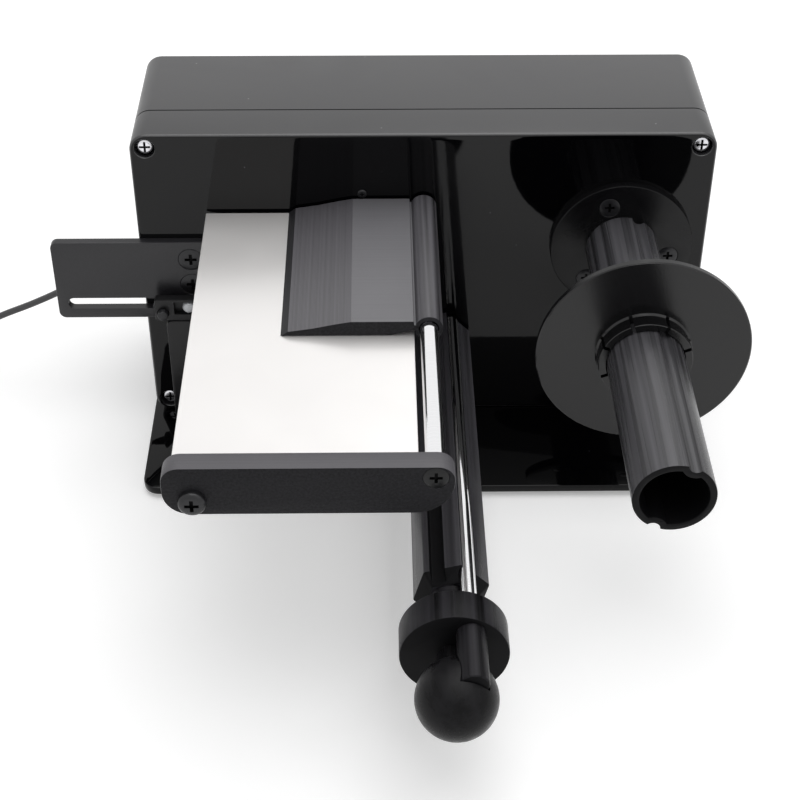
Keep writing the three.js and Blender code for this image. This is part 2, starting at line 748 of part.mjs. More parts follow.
piece("sensor_bracket", sensorBracket(), printBlack);
bracketScrewPlaces().forEach(([x, z], i) => {
  const head = [bracketScrewHeadRadius, bracketScrewHeadDepth];
  const profile = sunkScrew(...head, bracketScrewShankRadius, bracketScrewLength);
  piece(`bracket_screw_${i + 1}`, turned(profile, x, -bracketThickness, z, smallSides), blackScrew);
});

// Sensor carrier, its stud and lock nut, its two lenses and its lower cover
function sensorCarrier() {
  const shape = outline(carrierLeft, carrierRight, up(carrierBottom), up(carrierTop), carrierCorner);
  const plate = solid(alongY(shape, carrierFront, carrierBack));
  const window = block(
    studX + windowStart,
    carrierRight - windowMargin,
    carrierFront - overrun,
    carrierFront + windowDepth,
    up(carrierBottom + windowSill),
    up(carrierTop - windowRoof),
  );
  const axis = [studX, up(slotCentre)];
  const bore = peg(studRadius + screwGap, carrierFront - overrun, carrierBack + overrun, ...axis);
  return plate.subtract(solid(window)).subtract(bore);
}

function lockNut() {
  const radius = nutAcross / Math.sqrt(3);
  const nut = peg(radius, carrierBack, carrierBack + carrierStandoff, studX, up(slotCentre), hexSides);
  return nut.subtract(peg(studRadius + screwGap, carrierBack - overrun, overrun, studX, up(slotCentre)));
}

function lens(x) {
  const steps = cornerSteps + 1;
  const pairs = [];
  for (let i = 0; i <= steps; i++) {
    const [radius, rise] = around(lensRadius, 90 - (90 * i) / steps);
    pairs.push([radius, -lensBase - rise]);
  }
  pairs[0][0] = 0;
  pairs.push([lensRadius, 0], [0, 0]);
  const middle = half(carrierBottom + windowSill + carrierTop - windowRoof);
  return turned(pairs, x, carrierFront + windowDepth, up(middle), smallSides);
}

piece("sensor_carrier", sensorCarrier(), printBlack);
const stud = peg(studRadius, carrierFront - studProud, -studRecess, studX, up(slotCentre));
piece("carrier_stud", stud, blackScrew);
piece("carrier_nut", lockNut(), zinc);
const lensX = studX + windowStart + lensInset;
piece("sensor_emitter", lens(lensX), clearLens);
piece("sensor_receiver", lens(lensX + 2 * lensRadius + lensGap), clearLens);
const coverRadii = [coverCorner, coverCorner, carrierCorner, coverCorner];
const coverLeft = carrierLeft + coverInset;
const coverRight = carrierRight + coverOverhang;
const coverShape = outline(coverLeft, coverRight, up(coverFloorGap), up(carrierBottom), coverRadii);
piece("sensor_cover", alongY(coverShape, carrierFront - coverProud, carrierBack), printBlack);

// Supply spool: a fluted tube on a flange, screwed to the lid
function spoolScrewPlaces() {
  const places = [];
  for (let i = 0; i < spoolScrewCount; i++) {
    const angle = spoolScrewFirstAngle + (360 * i) / spoolScrewCount;
    const [x, z] = around(spoolTubeRadius + spoolScrewMargin, angle);
    places.push([spoolX + x, up(spoolZ) + z]);
  }
  return places;
}

function fluted(radius, fluteSize, front, back) {
  let bar = peg(radius, front, back, spoolX, up(spoolZ), roundSides);
  for (let i = 0; i < fluteCount; i++) {
    const [x, z] = around(spoolTubeRadius + fluteOffset, fluteFirstAngle + (360 * i) / fluteCount);
    bar = bar.subtract(peg(fluteSize, front - overrun, back + overrun, spoolX + x, up(spoolZ) + z));
  }
  return bar;
}

function spoolHolder() {
  const face = -spoolFlangeThickness;
  let holder = peg(spoolFlangeRadius, face, 0, spoolX, up(spoolZ), discSides);
  holder = holder.add(fluted(spoolTubeRadius, fluteRadius, -spoolTubeLength, half(face)));
  const inner = spoolTubeRadius - spoolTubeWall;
  holder = holder.subtract(fluted(inner, fluteRadius + spoolTubeWall, -spoolTubeLength - overrun, face));
  for (const [x, z] of spoolScrewPlaces()) {
    const head = [spoolScrewHeadRadius, spoolScrewHeadDepth];
    const shank = [spoolScrewShankRadius, spoolFlangeThickness + overrun];
    holder = holder.subtract(sunkHole(...head, ...shank, x, face, z));
  }
  return holder;
}

piece("spool_holder", spoolHolder(), printBlack);
spoolScrewPlaces().forEach(([x, z], i) => {
  const head = [spoolScrewHeadRadius, spoolScrewHeadDepth];
  const profile = sunkScrew(...head, spoolScrewShankRadius, spoolScrewLength);
  piece(`spool_screw_${i + 1}`, turned(profile, x, -spoolFlangeThickness, z, smallSides), blackScrew);
});

// Sliding disc, whose slit hub grips the tube
function supplyDisc() {
  const front = -discPlace;
  const back = front + discThickness;
  const bore = spoolTubeRadius + slideGap;
  const axis = [spoolX, up(spoolZ)];
  let disc = peg(discRadius, front, back, ...axis, discSides);
  disc = disc.add(peg(bore + hubWall, front - hubLength, half(front + back), ...axis, roundSides));
  for (let i = 0; i < hubSlits; i++) {
    const reach = bore + hubWall + overrun;
    const slit = block(0, reach, -hubLength - overrun, 0, -half(hubSlitWidth), half(hubSlitWidth));
    slit.rotateY(radians((-360 * i) / hubSlits - fluteFirstAngle));
    disc = disc.subtract(solid(slit.translate(spoolX, front, up(spoolZ))));
  }
  return disc.subtract(peg(bore, front - hubLength - overrun, back + overrun, ...axis, roundSides));
}

piece("supply_disc", supplyDisc(), printBlack);

// Take-up spindle: a six-sided body with a channel for the clip rod and a groove for the paper's end
function sixSided(frontRadius, rearRadius, front, back) {
  const geometry = new THREE.CylinderGeometry(rearRadius, frontRadius, back - front, hexSides);
  geometry.rotateY(radians(90 - spindleCorner));
  return solid(geometry.translate(spindleX, half(front + back), up(spindleZ)));
}

function spindle() {
  const axis = [spindleX, up(spindleZ)];
  let body = sixSided(spindleRadius, spindleRadius, -spindleEnd, -spindleStart);
  body = body.add(sixSided(spindleRadius * spindleNoseShare, spindleRadius, spindleNose, -spindleEnd));
  const slit = block(
    -spindleRadius,
    -spindleRadius + slitDepth,
    spindleNose - overrun,
    overrun,
    slitShift - half(slitWidth),
    slitShift + half(slitWidth),
  );
  slit.rotateY(radians(180 - slitAngle));
  body = body.subtract(solid(slit.translate(spindleX, 0, up(spindleZ))));
  const channel = [spindleX + clipX, up(spindleZ) + clipZ];
  body = body.subtract(peg(clipRadius + slideGap, spindleNose - overrun, overrun, ...channel));
  const boreEnd = spindleNose + spindleBoreDepth;
  body = body.subtract(peg(spindleBoreRadius, spindleNose - overrun, boreEnd, ...axis));
  return body.subtract(peg(shaftRadius + screwGap, -spindleStart - shaftReach, overrun, ...axis));
}

piece("spindle", spindle(), printBlack);
const shaftFront = -spindleStart - shaftReach;
const shaftBack = lidWall + mountThickness;
const shaft = barY(shaftRadius, shaftRadius, shaftFront, shaftBack, spindleX, up(spindleZ), smallSides);
piece("drive_shaft", shaft, motorSteel);
const bushBore = peg(shaftRadius + slideGap, -overrun, lidWall + overrun, spindleX, up(spindleZ));
const bush = peg(bushRadius, 0, lidWall, spindleX, up(spindleZ), roundSides).subtract(bushBore);
piece("spindle_bush", bush, printBlack);

// Puller that slides off the spindle
function pullerCollar() {
  const axis = [spindleX, up(spindleZ)];
  const socket = [spindleX + clipX, up(spindleZ) + clipZ];
  let collar = peg(collarRadius, collarFront, collarBack, ...axis, discSides);
  const shoulder = [shoulderRadius, collarBack - overrun, spindleNose - slideGap];
  collar = collar.add(peg(...shoulder, ...axis, roundSides));
  const plugEnd = spindleNose + spindleBoreDepth - plugEndGap;
  collar = collar.add(peg(spindleBoreRadius - slideGap, collarBack, plugEnd, ...axis));
  const boss = [socketRadius, collarFront - socketLength, collarBack - overrun];
  collar = collar.add(peg(...boss, ...socket, roundSides));
  return collar.subtract(peg(clipRadius + screwGap, collarFront - socketDepth, 0, ...socket));
}

function ballKnob() {
  const ball = new THREE.SphereGeometry(ballRadius, ballSides, ballRings);
  let knob = solid(ball.translate(spindleX, ballY, up(spindleZ)));
  const neck = new THREE.CylinderGeometry(neckRadius, neckRadius, ballStandoff, hexSides);
  neck.translate(spindleX, half(collarFront + ballY), up(spindleZ));
  knob = knob.add(solid(neck));
  const end = collarFront - socketLength - slideGap;
  const socket = [spindleX + clipX, up(spindleZ) + clipZ];
  const relief = peg(socketRadius + slideGap, end, collarBack, ...socket, roundSides);
  const near = ballRadius * ballFlatShare;
  const flat = block(near, ballRadius + overrun, -ballRadius, ballRadius, -ballRadius, ballRadius);
  flat.rotateY(radians(-ballFlatAngle)).translate(spindleX, ballY, up(spindleZ));
  return knob.subtract(relief).subtract(solid(flat));
}

piece("puller_collar", pullerCollar(), printBlack);
piece("ball_knob", ballKnob(), printBlack);
const clipFront = collarFront - socketDepth;
const clipRod = peg(clipRadius, clipFront, -clipStart, spindleX + clipX, up(spindleZ) + clipZ);
piece("clip_rod", clipRod, chrome);

// Drive and control board inside the enclosure
function motorMount() {
  const reach = half(mountSize);
  const plate = block(
    spindleX - reach,
    spindleX + reach,
    lidWall,
    lidWall + mountThickness,
    up(spindleZ) - reach,
    up(spindleZ) + reach,
  );
  const bore = [bushRadius, lidWall - overrun, lidWall + mountThickness + overrun];
  return solid(plate).subtract(peg(...bore, spindleX, up(spindleZ), roundSides));
}

piece("motor_mount", motorMount(), printBlack);
const mountBack = lidWall + mountThickness;
const motorEnd = caseFloor - motorRearGap - mountBack;
const motorProfile = [
  [0, 0],
  [gearboxRadius, 0],
  [gearboxRadius, gearboxLength],
  [motorRadius, gearboxLength],
  [motorRadius, motorEnd],
  [0, motorEnd],
];
piece("gearmotor", turned(motorProfile, spindleX, mountBack, up(spindleZ), roundSides), motorSteel);
const boardBack = caseFloor - boardPostHeight;
const boardFront = boardBack - boardThickness;
const boardBlock = block(boardLeft, boardRight, boardFront, boardBack, up(boardBottom), up(boardTop));
piece("control_board", boardBlock, boardGreen);

// Power inlet and plug
const plugFace = -halfBox - inletFlange;
const reliefFace = plugFace - plugBodyLength;

function powerInlet() {
  const inner = -halfBox + inletDepth;
  const axis = [inletY, up(inletZ), smallSides];
  const body = barX(inletRadius, inletRadius, plugFace, inner, ...axis);
  const flange = barX(inletFlangeRadius, inletFlangeRadius, plugFace, -halfBox, ...axis);
  const bore = barX(inletBoreRadius, inletBoreRadius, plugFace - overrun, inner - inletFlange, ...axis);
  return solid(body).add(solid(flange)).subtract(solid(bore));
}

function powerPlug() {
  const axis = [inletY, up(inletZ), smallSides];
  const tip = barX(plugTipRadius, plugTipRadius, plugFace - overrun, plugFace + plugTipLength, ...axis);
  const grip = barX(plugBodyRadius, plugBodyRadius, reliefFace, plugFace, ...axis);
  return solid(grip).add(solid(tip));
}

function plugRelief() {
  const thin = cordRadius + reliefTip;
  return barX(thin, reliefRadius, reliefFace - reliefLength, reliefFace, inletY, up(inletZ), smallSides);
}

piece("power_inlet", powerInlet(), printBlack);
piece("power_plug", powerPlug(), vinyl);
piece("plug_relief", plugRelief(), vinyl);

// Coil: one unbroken tube in layers, spiralling in and out again by turns
const cordCentre = cordRadius + cordRest;
const coilTotal = coilTurns * coilStepsPerTurn;
const turnsPerLayer = coilTurns / coilLayers;
const coilOuter = half(coilMiddleDiameter) + half(coilPitch * turnsPerLayer);

function coilPoint(turn) {
  const layer = turn / turnsPerLayer;
  const fold = layer % 2;
  const inward = fold < 1 ? fold : 2 - fold;
  const radius = coilOuter - inward * coilPitch * turnsPerLayer;
  let rise = 0;
  for (let k = 1; k < coilLayers; k++) {
    const climbed = (turn - k * turnsPerLayer + half(coilClimb)) / coilClimb;
    rise += THREE.MathUtils.clamp(climbed, 0, 1);
  }
  const angle = half(Math.PI) + 2 * Math.PI * turn;
  const z = cordCentre + rise * coilRise;
  return new THREE.Vector3(coilX + radius * Math.cos(angle), coilY + radius * Math.sin(angle), z);
}

function coilPath() {
  const points = [];
  for (let i = 0; i <= coilTotal; i++) {
    points.push(coilPoint(i / coilStepsPerTurn));
  }
  const first = new THREE.Vector3(1, 0, 0).multiplyScalar(coilLead).add(points[0]);
  const last = points[coilTotal].clone().add(new THREE.Vector3(0, -1, 0).multiplyScalar(coilLead));
  return [first, ...points, last];
}

function woundTube(path, radius, sides) {
  const tops = new THREE.Vector3(0, 0, 1);
  const position = [];
  const index = [];
  path.forEach((point, i) => {
    const ahead = path[Math.min(i + 1, path.length - 1)];
    const behind = path[Math.max(i - 1, 0)];
    const level = ahead.clone().sub(behind).setZ(0).normalize();
    if (i === 0 || i === path.length - 1) {
      level.set(Math.round(level.x), Math.round(level.y), 0);
    }
    const across = new THREE.Vector3().crossVectors(level, tops);
    for (let k = 0; k < sides; k++) {
      const angle = (2 * Math.PI * k) / sides;
      const rim = point.clone().addScaledVector(across, radius * Math.cos(angle));
      rim.addScaledVector(tops, radius * Math.sin(angle));
      position.push(rim.x, rim.y, rim.z);
    }
  });
  const rings = path.length;
  for (let i = 0; i + 1 < rings; i++) {
    for (let k = 0; k < sides; k++) {
      const a = i * sides + k;
      const b = i * sides + ((k + 1) % sides);
      index.push(a, a + sides, b, b, a + sides, b + sides);
    }
  }
  for (let k = 1; k + 1 < sides; k++) {
    const end = (rings - 1) * sides;
    index.push(0, k, k + 1, end, end + k + 1, end + k);
  }
  const geometry = new THREE.BufferGeometry();
  geometry.setAttribute("position", new THREE.Float32BufferAttribute(position, 3));
  geometry.setIndex(index);
  return geometry;
}

const pathLength = (path) => {
  let length = 0;
  for (let i = 1; i < path.length; i++) {
    length += path[i].distanceTo(path[i - 1]);
  }
  return length;
};

// The least gap between stretches of the coil that are more than half a turn apart
function leastGap(path) {
  const apart = half(coilStepsPerTurn) * gapSamples;
  const fine = new THREE.CatmullRomCurve3(path).getPoints(path.length * gapSamples);
  let least = Infinity;
  for (let i = 0; i < fine.length; i++) {
    for (let j = i + apart; j < fine.length; j++) {
      least = Math.min(least, fine[i].distanceTo(fine[j]));
    }
  }
  return least - 2 * cordRadius;
}

const coilLine = coilPath();
const coil = woundTube(coilLine, cordRadius, coilSides);
coil.computeVertexNormals();
piece("cord_coil", coil, vinyl);

// Free stretches of the cord, through points chosen by hand
const reliefEnd = reliefFace - reliefLength;
const coilStart = coilLine[0];
const coilEnd = coilLine[coilLine.length - 1];
const runPoints = [
  [reliefEnd - cordGap, inletY, up(inletZ)],
  [-127, inletY, up(42.2)],
  [-132, inletY, up(40.2)],
  [-138.1, 24.1, up(36.7)],
  [-147.7, 24.3, up(31.9)],
  [-160.1, 24.6, up(26.3)],
  [-172, 25, up(19.6)],
  [-184, 25.6, up(11.5)],
  [-194, 26.3, up(4.1)],
  [-203, 27, up(-0.9)],
  [-212, 27.8, up(-3.2)],
  [-221, 28.6, cordCentre],
  [-228, coilStart.y, cordCentre],
  [-232, coilStart.y, cordCentre],
  [coilStart.x + cordGap, coilStart.y, cordCentre],
];
const supplyEntry = supplyFront + supplyReliefLength;
const tailPoints = [
  [coilEnd.x, coilEnd.y - cordGap, coilEnd.z],
  [coilEnd.x, coilEnd.y - tailLead, coilEnd.z],
  [coilEnd.x, half(coilEnd.y + supplyEntry), half(coilEnd.z + supplyCordHeight)],
  [coilEnd.x, supplyEntry + tailLead, supplyCordHeight],
  [coilEnd.x, supplyEntry + cordGap, supplyCordHeight],
];

function cordTube(points, steps) {
  const curve = new THREE.CatmullRomCurve3(points.map((point) => new THREE.Vector3(...point)));
  const section = new THREE.Shape();
  for (let k = 0; k < cordSides; k++) {
    const [x, y] = around(cordRadius, (360 * k) / cordSides);
    section[k ? "lineTo" : "moveTo"](x, y);
  }
  const geometry = new THREE.ExtrudeGeometry(section, { steps, bevelEnabled: false, extrudePath: curve });
  return { geometry, length: curve.getLength() };
}

const run = cordTube(runPoints, cordSteps);
const tail = cordTube(tailPoints, tailSteps);
piece("cord_run", run.geometry, vinyl);
piece("cord_tail", tail.geometry, vinyl);

// Power supply on the far end
function supplyBody() {
  const left = coilEnd.x - half(supplyWidth);
  const shape = outline(left, left + supplyWidth, supplyFront - supplyLength, supplyFront, supplyCorner);
  return solid(alongZ(shape, 0, supplyHeight));
}

function supplyRelief() {
  const thin = cordRadius + reliefTip;
  return barY(supplyReliefRadius, thin, supplyFront, supplyEntry, coilEnd.x, supplyCordHeight, smallSides);
}

piece("supply_body", supplyBody(), vinyl);
piece("supply_relief", supplyRelief(), vinyl);
for (const [name, side] of [["supply_pin_left", -1], ["supply_pin_right", 1]]) {
  const x = coilEnd.x + side * half(pinPitch);
  const y = supplyFront - supplyLength + pinInset;
  piece(name, barZ(pinRadius, pinRadius, supplyHeight, supplyHeight + pinLength, x, y, smallSides), chrome);
}

// The frame's origin lies on the standing surface, under the middle of the machine without its cord
const leftmost = bracketLeft;
const rightmost = spoolX + discRadius;
const foremost = ballY - ballRadius;
const rearmost = boxDepth + baseBack;
machine.position.set(-half(leftmost + rightmost), -half(foremost + rearmost), 0);

const cordTotal = run.length + pathLength(coilLine) + tail.length;
console.log(`cord ${cordTotal.toFixed(0)} mm long, coil's least gap ${leastGap(coilLine).toFixed(2)} mm`);

export default machine;
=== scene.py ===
# Looks of a desk machine that peels labels off their backing paper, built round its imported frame.

import math

import bpy
from mathutils import Matrix, Vector


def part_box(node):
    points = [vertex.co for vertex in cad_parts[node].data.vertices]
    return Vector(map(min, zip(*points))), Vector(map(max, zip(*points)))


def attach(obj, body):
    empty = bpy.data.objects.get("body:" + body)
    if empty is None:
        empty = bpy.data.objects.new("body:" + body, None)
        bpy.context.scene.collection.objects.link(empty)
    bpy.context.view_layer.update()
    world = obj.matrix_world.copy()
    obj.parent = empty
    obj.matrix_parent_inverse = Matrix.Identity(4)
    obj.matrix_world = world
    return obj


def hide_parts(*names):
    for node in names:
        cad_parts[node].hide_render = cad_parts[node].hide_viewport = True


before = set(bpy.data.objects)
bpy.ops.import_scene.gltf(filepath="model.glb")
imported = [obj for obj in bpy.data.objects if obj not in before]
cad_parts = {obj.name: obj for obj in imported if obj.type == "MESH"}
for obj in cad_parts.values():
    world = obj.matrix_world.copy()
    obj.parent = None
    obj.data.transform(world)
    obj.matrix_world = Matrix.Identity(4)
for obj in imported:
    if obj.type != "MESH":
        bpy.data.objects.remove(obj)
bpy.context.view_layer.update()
scene = bpy.context.scene
mm = 0.001

# Pieces are placed from the enclosure: X from its middle, Y from the lid's face, Z from the base plate's top
lidLow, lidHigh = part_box("front_lid")
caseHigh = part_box("rear_case")[1]
origin = Vector(((lidLow[0] + lidHigh[0]) / 2, lidLow[1], lidLow[2]))
halfBox = (lidHigh[0] - lidLow[0]) / 2 / mm
boxHeight = (lidHigh[2] - lidLow[2]) / mm
boxDepth = (caseHigh[1] - lidLow[1]) / mm
lidDepth = (lidHigh[1] - lidLow[1]) / mm
deck = origin.z / mm  # height of the base plate's top above the standing surface
toFront, toBack, toLeft, toRight = (0, -1, 0), (0, 1, 0), (-1, 0, 0), (1, 0, 0)
down, up = (0, 0, -1), (0, 0, 1)


def at(x, y, z):
    return origin + Vector((x, y, z)) * mm


def local(node):  # a node's low and high corner and its middle, in the same millimetres
    low, high = [(Vector(corner) - origin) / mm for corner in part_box(node)]
    return low, high, (low + high) / 2


def middleOf(node):
    return local(node)[2]


def numbered(name, count):
    return [f"{name}_{i}" for i in range(1, count + 1)]


def spot(place, y):  # the point at y on a place's line along Y
    return Vector((place.x, y, place.z))


def away(place, axis):  # distance from an axis along Y
    return math.hypot(place.x - axis.x, place.z - axis.z)


def feed(tree, node, values):  # sets a node's sockets to plain values, or links them to another node's output
    for label, value in values.items():
        if isinstance(value, bpy.types.NodeSocket):
            tree.links.new(value, node.inputs[label])
        else:
            node.inputs[label].default_value = value
    return node.outputs


def added(tree, kind, values, **settings):  # the outputs of a new shader node
    node = tree.nodes.new("ShaderNode" + kind)
    for name, setting in settings.items():
        setattr(node, name, setting)
    return feed(tree, node, values)


def maths(tree, operation, first, second):
    return added(tree, "Math", {0: first, 1: second}, operation=operation)[0]


# Camera, lamps and floor: the camera's place and the lamps' aim are in the same millimetres, and the lamps'
# places in metres from that aim
camera = {"place": (-16.21, -498.42, 398.73), "pitch": 38.4, "yaw": 0.97, "roll": 0.24, "lens": 75.35}
light = {"worldFill": 0.4, "topPower": 14, "topSize": 1.5, "topPlace": (0.12, 0.1, 1.35),
         "sidePower": 1.5, "sideSize": 1, "sidePlace": (1.0, -0.9, 1.0), "aim": (0, -60, 0)}
floorLook = {"width": 8, "tone": 0.9, "rough": 0.9, "specular": 0.1, "glow": 0.3}


def addCamera():
    data = bpy.data.cameras.new("camera")
    data.lens = camera["lens"]
    eye = bpy.data.objects.new("camera", data)
    scene.collection.objects.link(eye)
    turn = Matrix.Rotation(math.radians(-camera["yaw"]), 4, "Z")
    turn = turn @ Matrix.Rotation(math.radians(90 - camera["pitch"]), 4, "X")
    turn = turn @ Matrix.Rotation(math.radians(camera["roll"]), 4, "Z")
    eye.matrix_world = Matrix.Translation(at(*camera["place"])) @ turn
    scene.camera = eye


def addLamp(name, place, target, power, size):
    data = bpy.data.lights.new(name, "AREA")
    data.energy = power
    data.size = size
    lamp = bpy.data.objects.new(name, data)
    lamp.location = place
    lamp.rotation_euler = (Vector(target) - Vector(place)).to_track_quat("-Z", "Y").to_euler()
    scene.collection.objects.link(lamp)


def seenDirectly(tree):  # 1 for the camera, in gloss and through glass, 0 for light on its way to a surface
    path = added(tree, "LightPath", {})
    glossy = maths(tree, "MAXIMUM", path["Is Camera Ray"], path["Is Glossy Ray"])
    return maths(tree, "MAXIMUM", glossy, path["Is Transmission Ray"])


def addWorld():
    world = bpy.data.worlds.new("studio")
    scene.world = world
    world.use_nodes = True
    tree = world.node_tree
    level = added(tree, "MapRange", {"To Min": light["worldFill"], "To Max": 1, "Value": seenDirectly(tree)})
    feed(tree, tree.nodes["Background"], {"Color": (1, 1, 1, 1), "Strength": level["Result"]})


def addFloor():
    bpy.ops.mesh.primitive_plane_add(size=floorLook["width"], location=(0, 0, 0))
    floor = bpy.context.object
    floor.name = "floor"
    look = bpy.data.materials.new("pale_floor")
    look.use_nodes = True
    tree, tone = look.node_tree, floorLook["tone"]
    glow = maths(tree, "MULTIPLY", seenDirectly(tree), floorLook["glow"])
    feed(tree, tree.nodes["Principled BSDF"], {
        "Base Color": (tone, tone, tone, 1), "Roughness": floorLook["rough"],
        "Specular IOR Level": floorLook["specular"],
        "Emission Color": (1, 1, 1, 1), "Emission Strength": glow})
    floor.data.materials.append(look)


addCamera()
addWorld()
aim = at(*light["aim"])
addLamp("top_lamp", aim + Vector(light["topPlace"]), aim, light["topPower"], light["topSize"])
addLamp("side_lamp", aim + Vector(light["sidePlace"]), aim, light["sidePower"], light["sideSize"])
addFloor()
scene.view_settings.view_transform = "Standard"
print("camera, lamps and floor placed")


# Cord: out of its plug on the left wall, down to the table, wound up there, and on to the power supply; the
# bend at the plug is given in X and Z, the landing in X and Y and the approach to the coil in X
cord = {"radius": 1.25, "rest": 0.1, "exitGap": 0.3, "turnPoints": 24, "inside": 30, "tailLead": 4,
        "bend": ((-127, 42.2), (-132, 40.2)), "landing": (-221, 28.6), "approach": (-228, -232),
        "drop": ((-138.1, 24.1, 36.7), (-147.7, 24.3, 31.9), (-160.1, 24.6, 26.3), (-172, 25, 19.6),
                 (-184, 25.6, 11.5), (-194, 26.3, 4.1), (-203, 27, -0.9), (-212, 27.8, -3.2))}
coil = {"centre": (-238, 12), "turns": 12.25, "layers": 4, "middle": 27.5, "pitch": 3.1, "rise": 3,
        "climb": 0.5, "lead": 2.5}
cordHeight = cord["radius"] + cord["rest"] - deck


def coilPoint(turn):
    turnsPerLayer = coil["turns"] / coil["layers"]
    fold = turn / turnsPerLayer % 2
    inward = fold if fold < 1 else 2 - fold
    span = coil["pitch"] * turnsPerLayer
    radius = coil["middle"] / 2 + span / 2 - inward * span
    rise = 0
    for k in range(1, coil["layers"]):
        climbed = (turn - k * turnsPerLayer + coil["climb"] / 2) / coil["climb"]
        rise += min(1, max(0, climbed))
    angle = math.pi / 2 + 2 * math.pi * turn
    x, y = coil["centre"]
    place = (x + radius * math.cos(angle), y + radius * math.sin(angle))
    return Vector((*place, cordHeight + rise * coil["rise"]))


def smoothLine(points, steps):  # a line through all points, bent evenly between them
    line = []
    for i in range(len(points) - 1):
        before = points[max(i - 1, 0)]
        start, end = points[i], points[i + 1]
        after = points[min(i + 2, len(points) - 1)]
        for step in range(steps):
            t = step / steps
            bend = (end - before) * t + (2 * before - 5 * start + 4 * end - after) * t * t
            line.append(start + (bend + (3 * start - before - 3 * end + after) * t ** 3) / 2)
    return line + [points[-1]]


def cordRoute():
    plugLow, start = local("plug_relief")[::2]
    supplyLow, supplyHigh, supplyMiddle = local("supply_relief")
    supplyZ = supplyMiddle.z
    count = round(coil["turns"] * cord["turnPoints"])
    turns = [coilPoint(i / cord["turnPoints"]) for i in range(count + 1)]
    first = turns[0] + Vector((coil["lead"], 0, 0))
    last = turns[-1] - Vector((0, coil["lead"], 0))
    points = [
        (plugLow.x - cord["exitGap"], start.y, start.z),
        *((x, start.y, z) for x, z in cord["bend"]),
        *cord["drop"],
        (*cord["landing"], cordHeight),
        *((x, first.y, cordHeight) for x in cord["approach"]),
        first,
    ]
    tail = [
        last,
        last - Vector((0, cord["tailLead"], 0)),
        (last.x, (last.y + supplyHigh.y) / 2, (last.z + supplyZ) / 2),
        (last.x, supplyHigh.y + cord["tailLead"], supplyZ),
        (last.x, supplyHigh.y, supplyZ),
        (last.x, supplyLow.y, supplyZ),
        (last.x, supplyLow.y - cord["inside"], supplyZ),
    ]
    return smoothLine([*map(Vector, points)], 4) + turns + smoothLine([*map(Vector, tail)], 5)


def makeCord():
    route = [at(*point) for point in cordRoute()]
    data = bpy.data.curves.new("power_cord", "CURVE")
    data.dimensions = "3D"
    data.bevel_depth = cord["radius"] * mm
    data.bevel_resolution = 3
    data.use_fill_caps = True
    spline = data.splines.new("POLY")
    spline.points.add(len(route) - 1)
    for point, place in zip(spline.points, route):
        point.co = (*place, 1)
    spline.use_smooth = True
    line = bpy.data.objects.new("power_cord", data)
    scene.collection.objects.link(line)
    length = sum((b - a).length for a, b in zip(route, route[1:]))
    print("cord length", round(length, 4))
    return line, route[0], length


cordPiece, cordExit, cordLength = makeCord()


# Shader groups that several finishes share
def newGroup(name, inputs, *outputs):  # inputs come with their values, and None makes a vector
    group = bpy.data.node_groups.new(name, "ShaderNodeTree")
    for label, value in inputs.items():
        kind = "NodeSocketVector" if value is None else "NodeSocketFloat"
        socket = group.interface.new_socket(label, in_out="INPUT", socket_type=kind)
        if value is not None:
            socket.default_value = value
    for label in outputs:
        group.interface.new_socket(label, in_out="OUTPUT", socket_type="NodeSocketFloat")
    return group, group.nodes.new("NodeGroupInput").outputs, group.nodes.new("NodeGroupOutput")


def makeNoise(name, output, size, settings, stretch=(1, 1, 1)):
    group, entry, leave = newGroup(name, {"Position": None, "Size": size}, output)
    place = added(group, "VectorMath", {0: entry["Position"], 1: stretch}, operation="MULTIPLY")["Vector"]
    noise = added(group, "TexNoise", {"Vector": place, "Scale": entry["Size"], **settings})
    feed(group, leave, {output: noise["Fac"]})
    return group


layerLines = {"waverSize": 90, "waver": 0.12, "unevenSize": 0.45, "unevenDetail": 3}
dustShare = 0.72  # of the cells that stay clean


def makeLayers():  # lines of printed layers, with a slow waver and uneven lines
    inputs = {"Position": None, "Along": 0, "Pitch": 0.35 * mm}
    group, entry, leave = newGroup("print_layers", inputs, "Height", "Streak")
    waver = added(group, "TexNoise", {"Scale": layerLines["waverSize"], "Vector": entry["Position"]})
    shift = maths(group, "MULTIPLY", waver["Fac"], layerLines["waver"] * mm)
    turns = maths(group, "DIVIDE", maths(group, "ADD", entry["Along"], shift), entry["Pitch"])
    wave = maths(group, "SINE", maths(group, "MULTIPLY", turns, 2 * math.pi), 0)
    values = {"Scale": layerLines["unevenSize"], "Detail": layerLines["unevenDetail"], "W": turns}
    uneven = added(group, "TexNoise", values, noise_dimensions="1D")
    feed(group, leave, {"Height": wave, "Streak": uneven["Fac"]})
    return group


def makeDust():  # sparse pale specks on dark glossy faces
    group, entry, leave = newGroup("dust", {"Position": None, "Size": 160, "Spread": 0.035}, "Mask")
    cells = added(group, "TexVoronoi", {"Randomness": 1, "Vector": entry["Position"], "Scale": entry["Size"]})
    near = maths(group, "LESS_THAN", cells["Distance"], entry["Spread"])
    pick = added(group, "SeparateColor", {"Color": cells["Color"]})
    few = maths(group, "GREATER_THAN", pick["Red"], dustShare)
    feed(group, leave, {"Mask": maths(group, "MULTIPLY", near, few)})
    return group


# Fine height of moulded or printed faces, slow change of polish, and soft bands along Y that paint streaks of
# reflection on long round printed pieces
grainGroup = makeNoise("grain", "Height", 900, {"Detail": 4, "Roughness": 0.6})
smudgeGroup = makeNoise("smudge", "Amount", 22, {"Detail": 5, "Distortion": 0.6})
reflectionBandGroup = makeNoise("reflection_bands", "Amount", 380, {"Detail": 3}, (1, 0.012, 1))
layerGroup = makeLayers()
dustGroup = makeDust()


looks = {}  # materials by the names given here, as the frame may already hold one of the same name


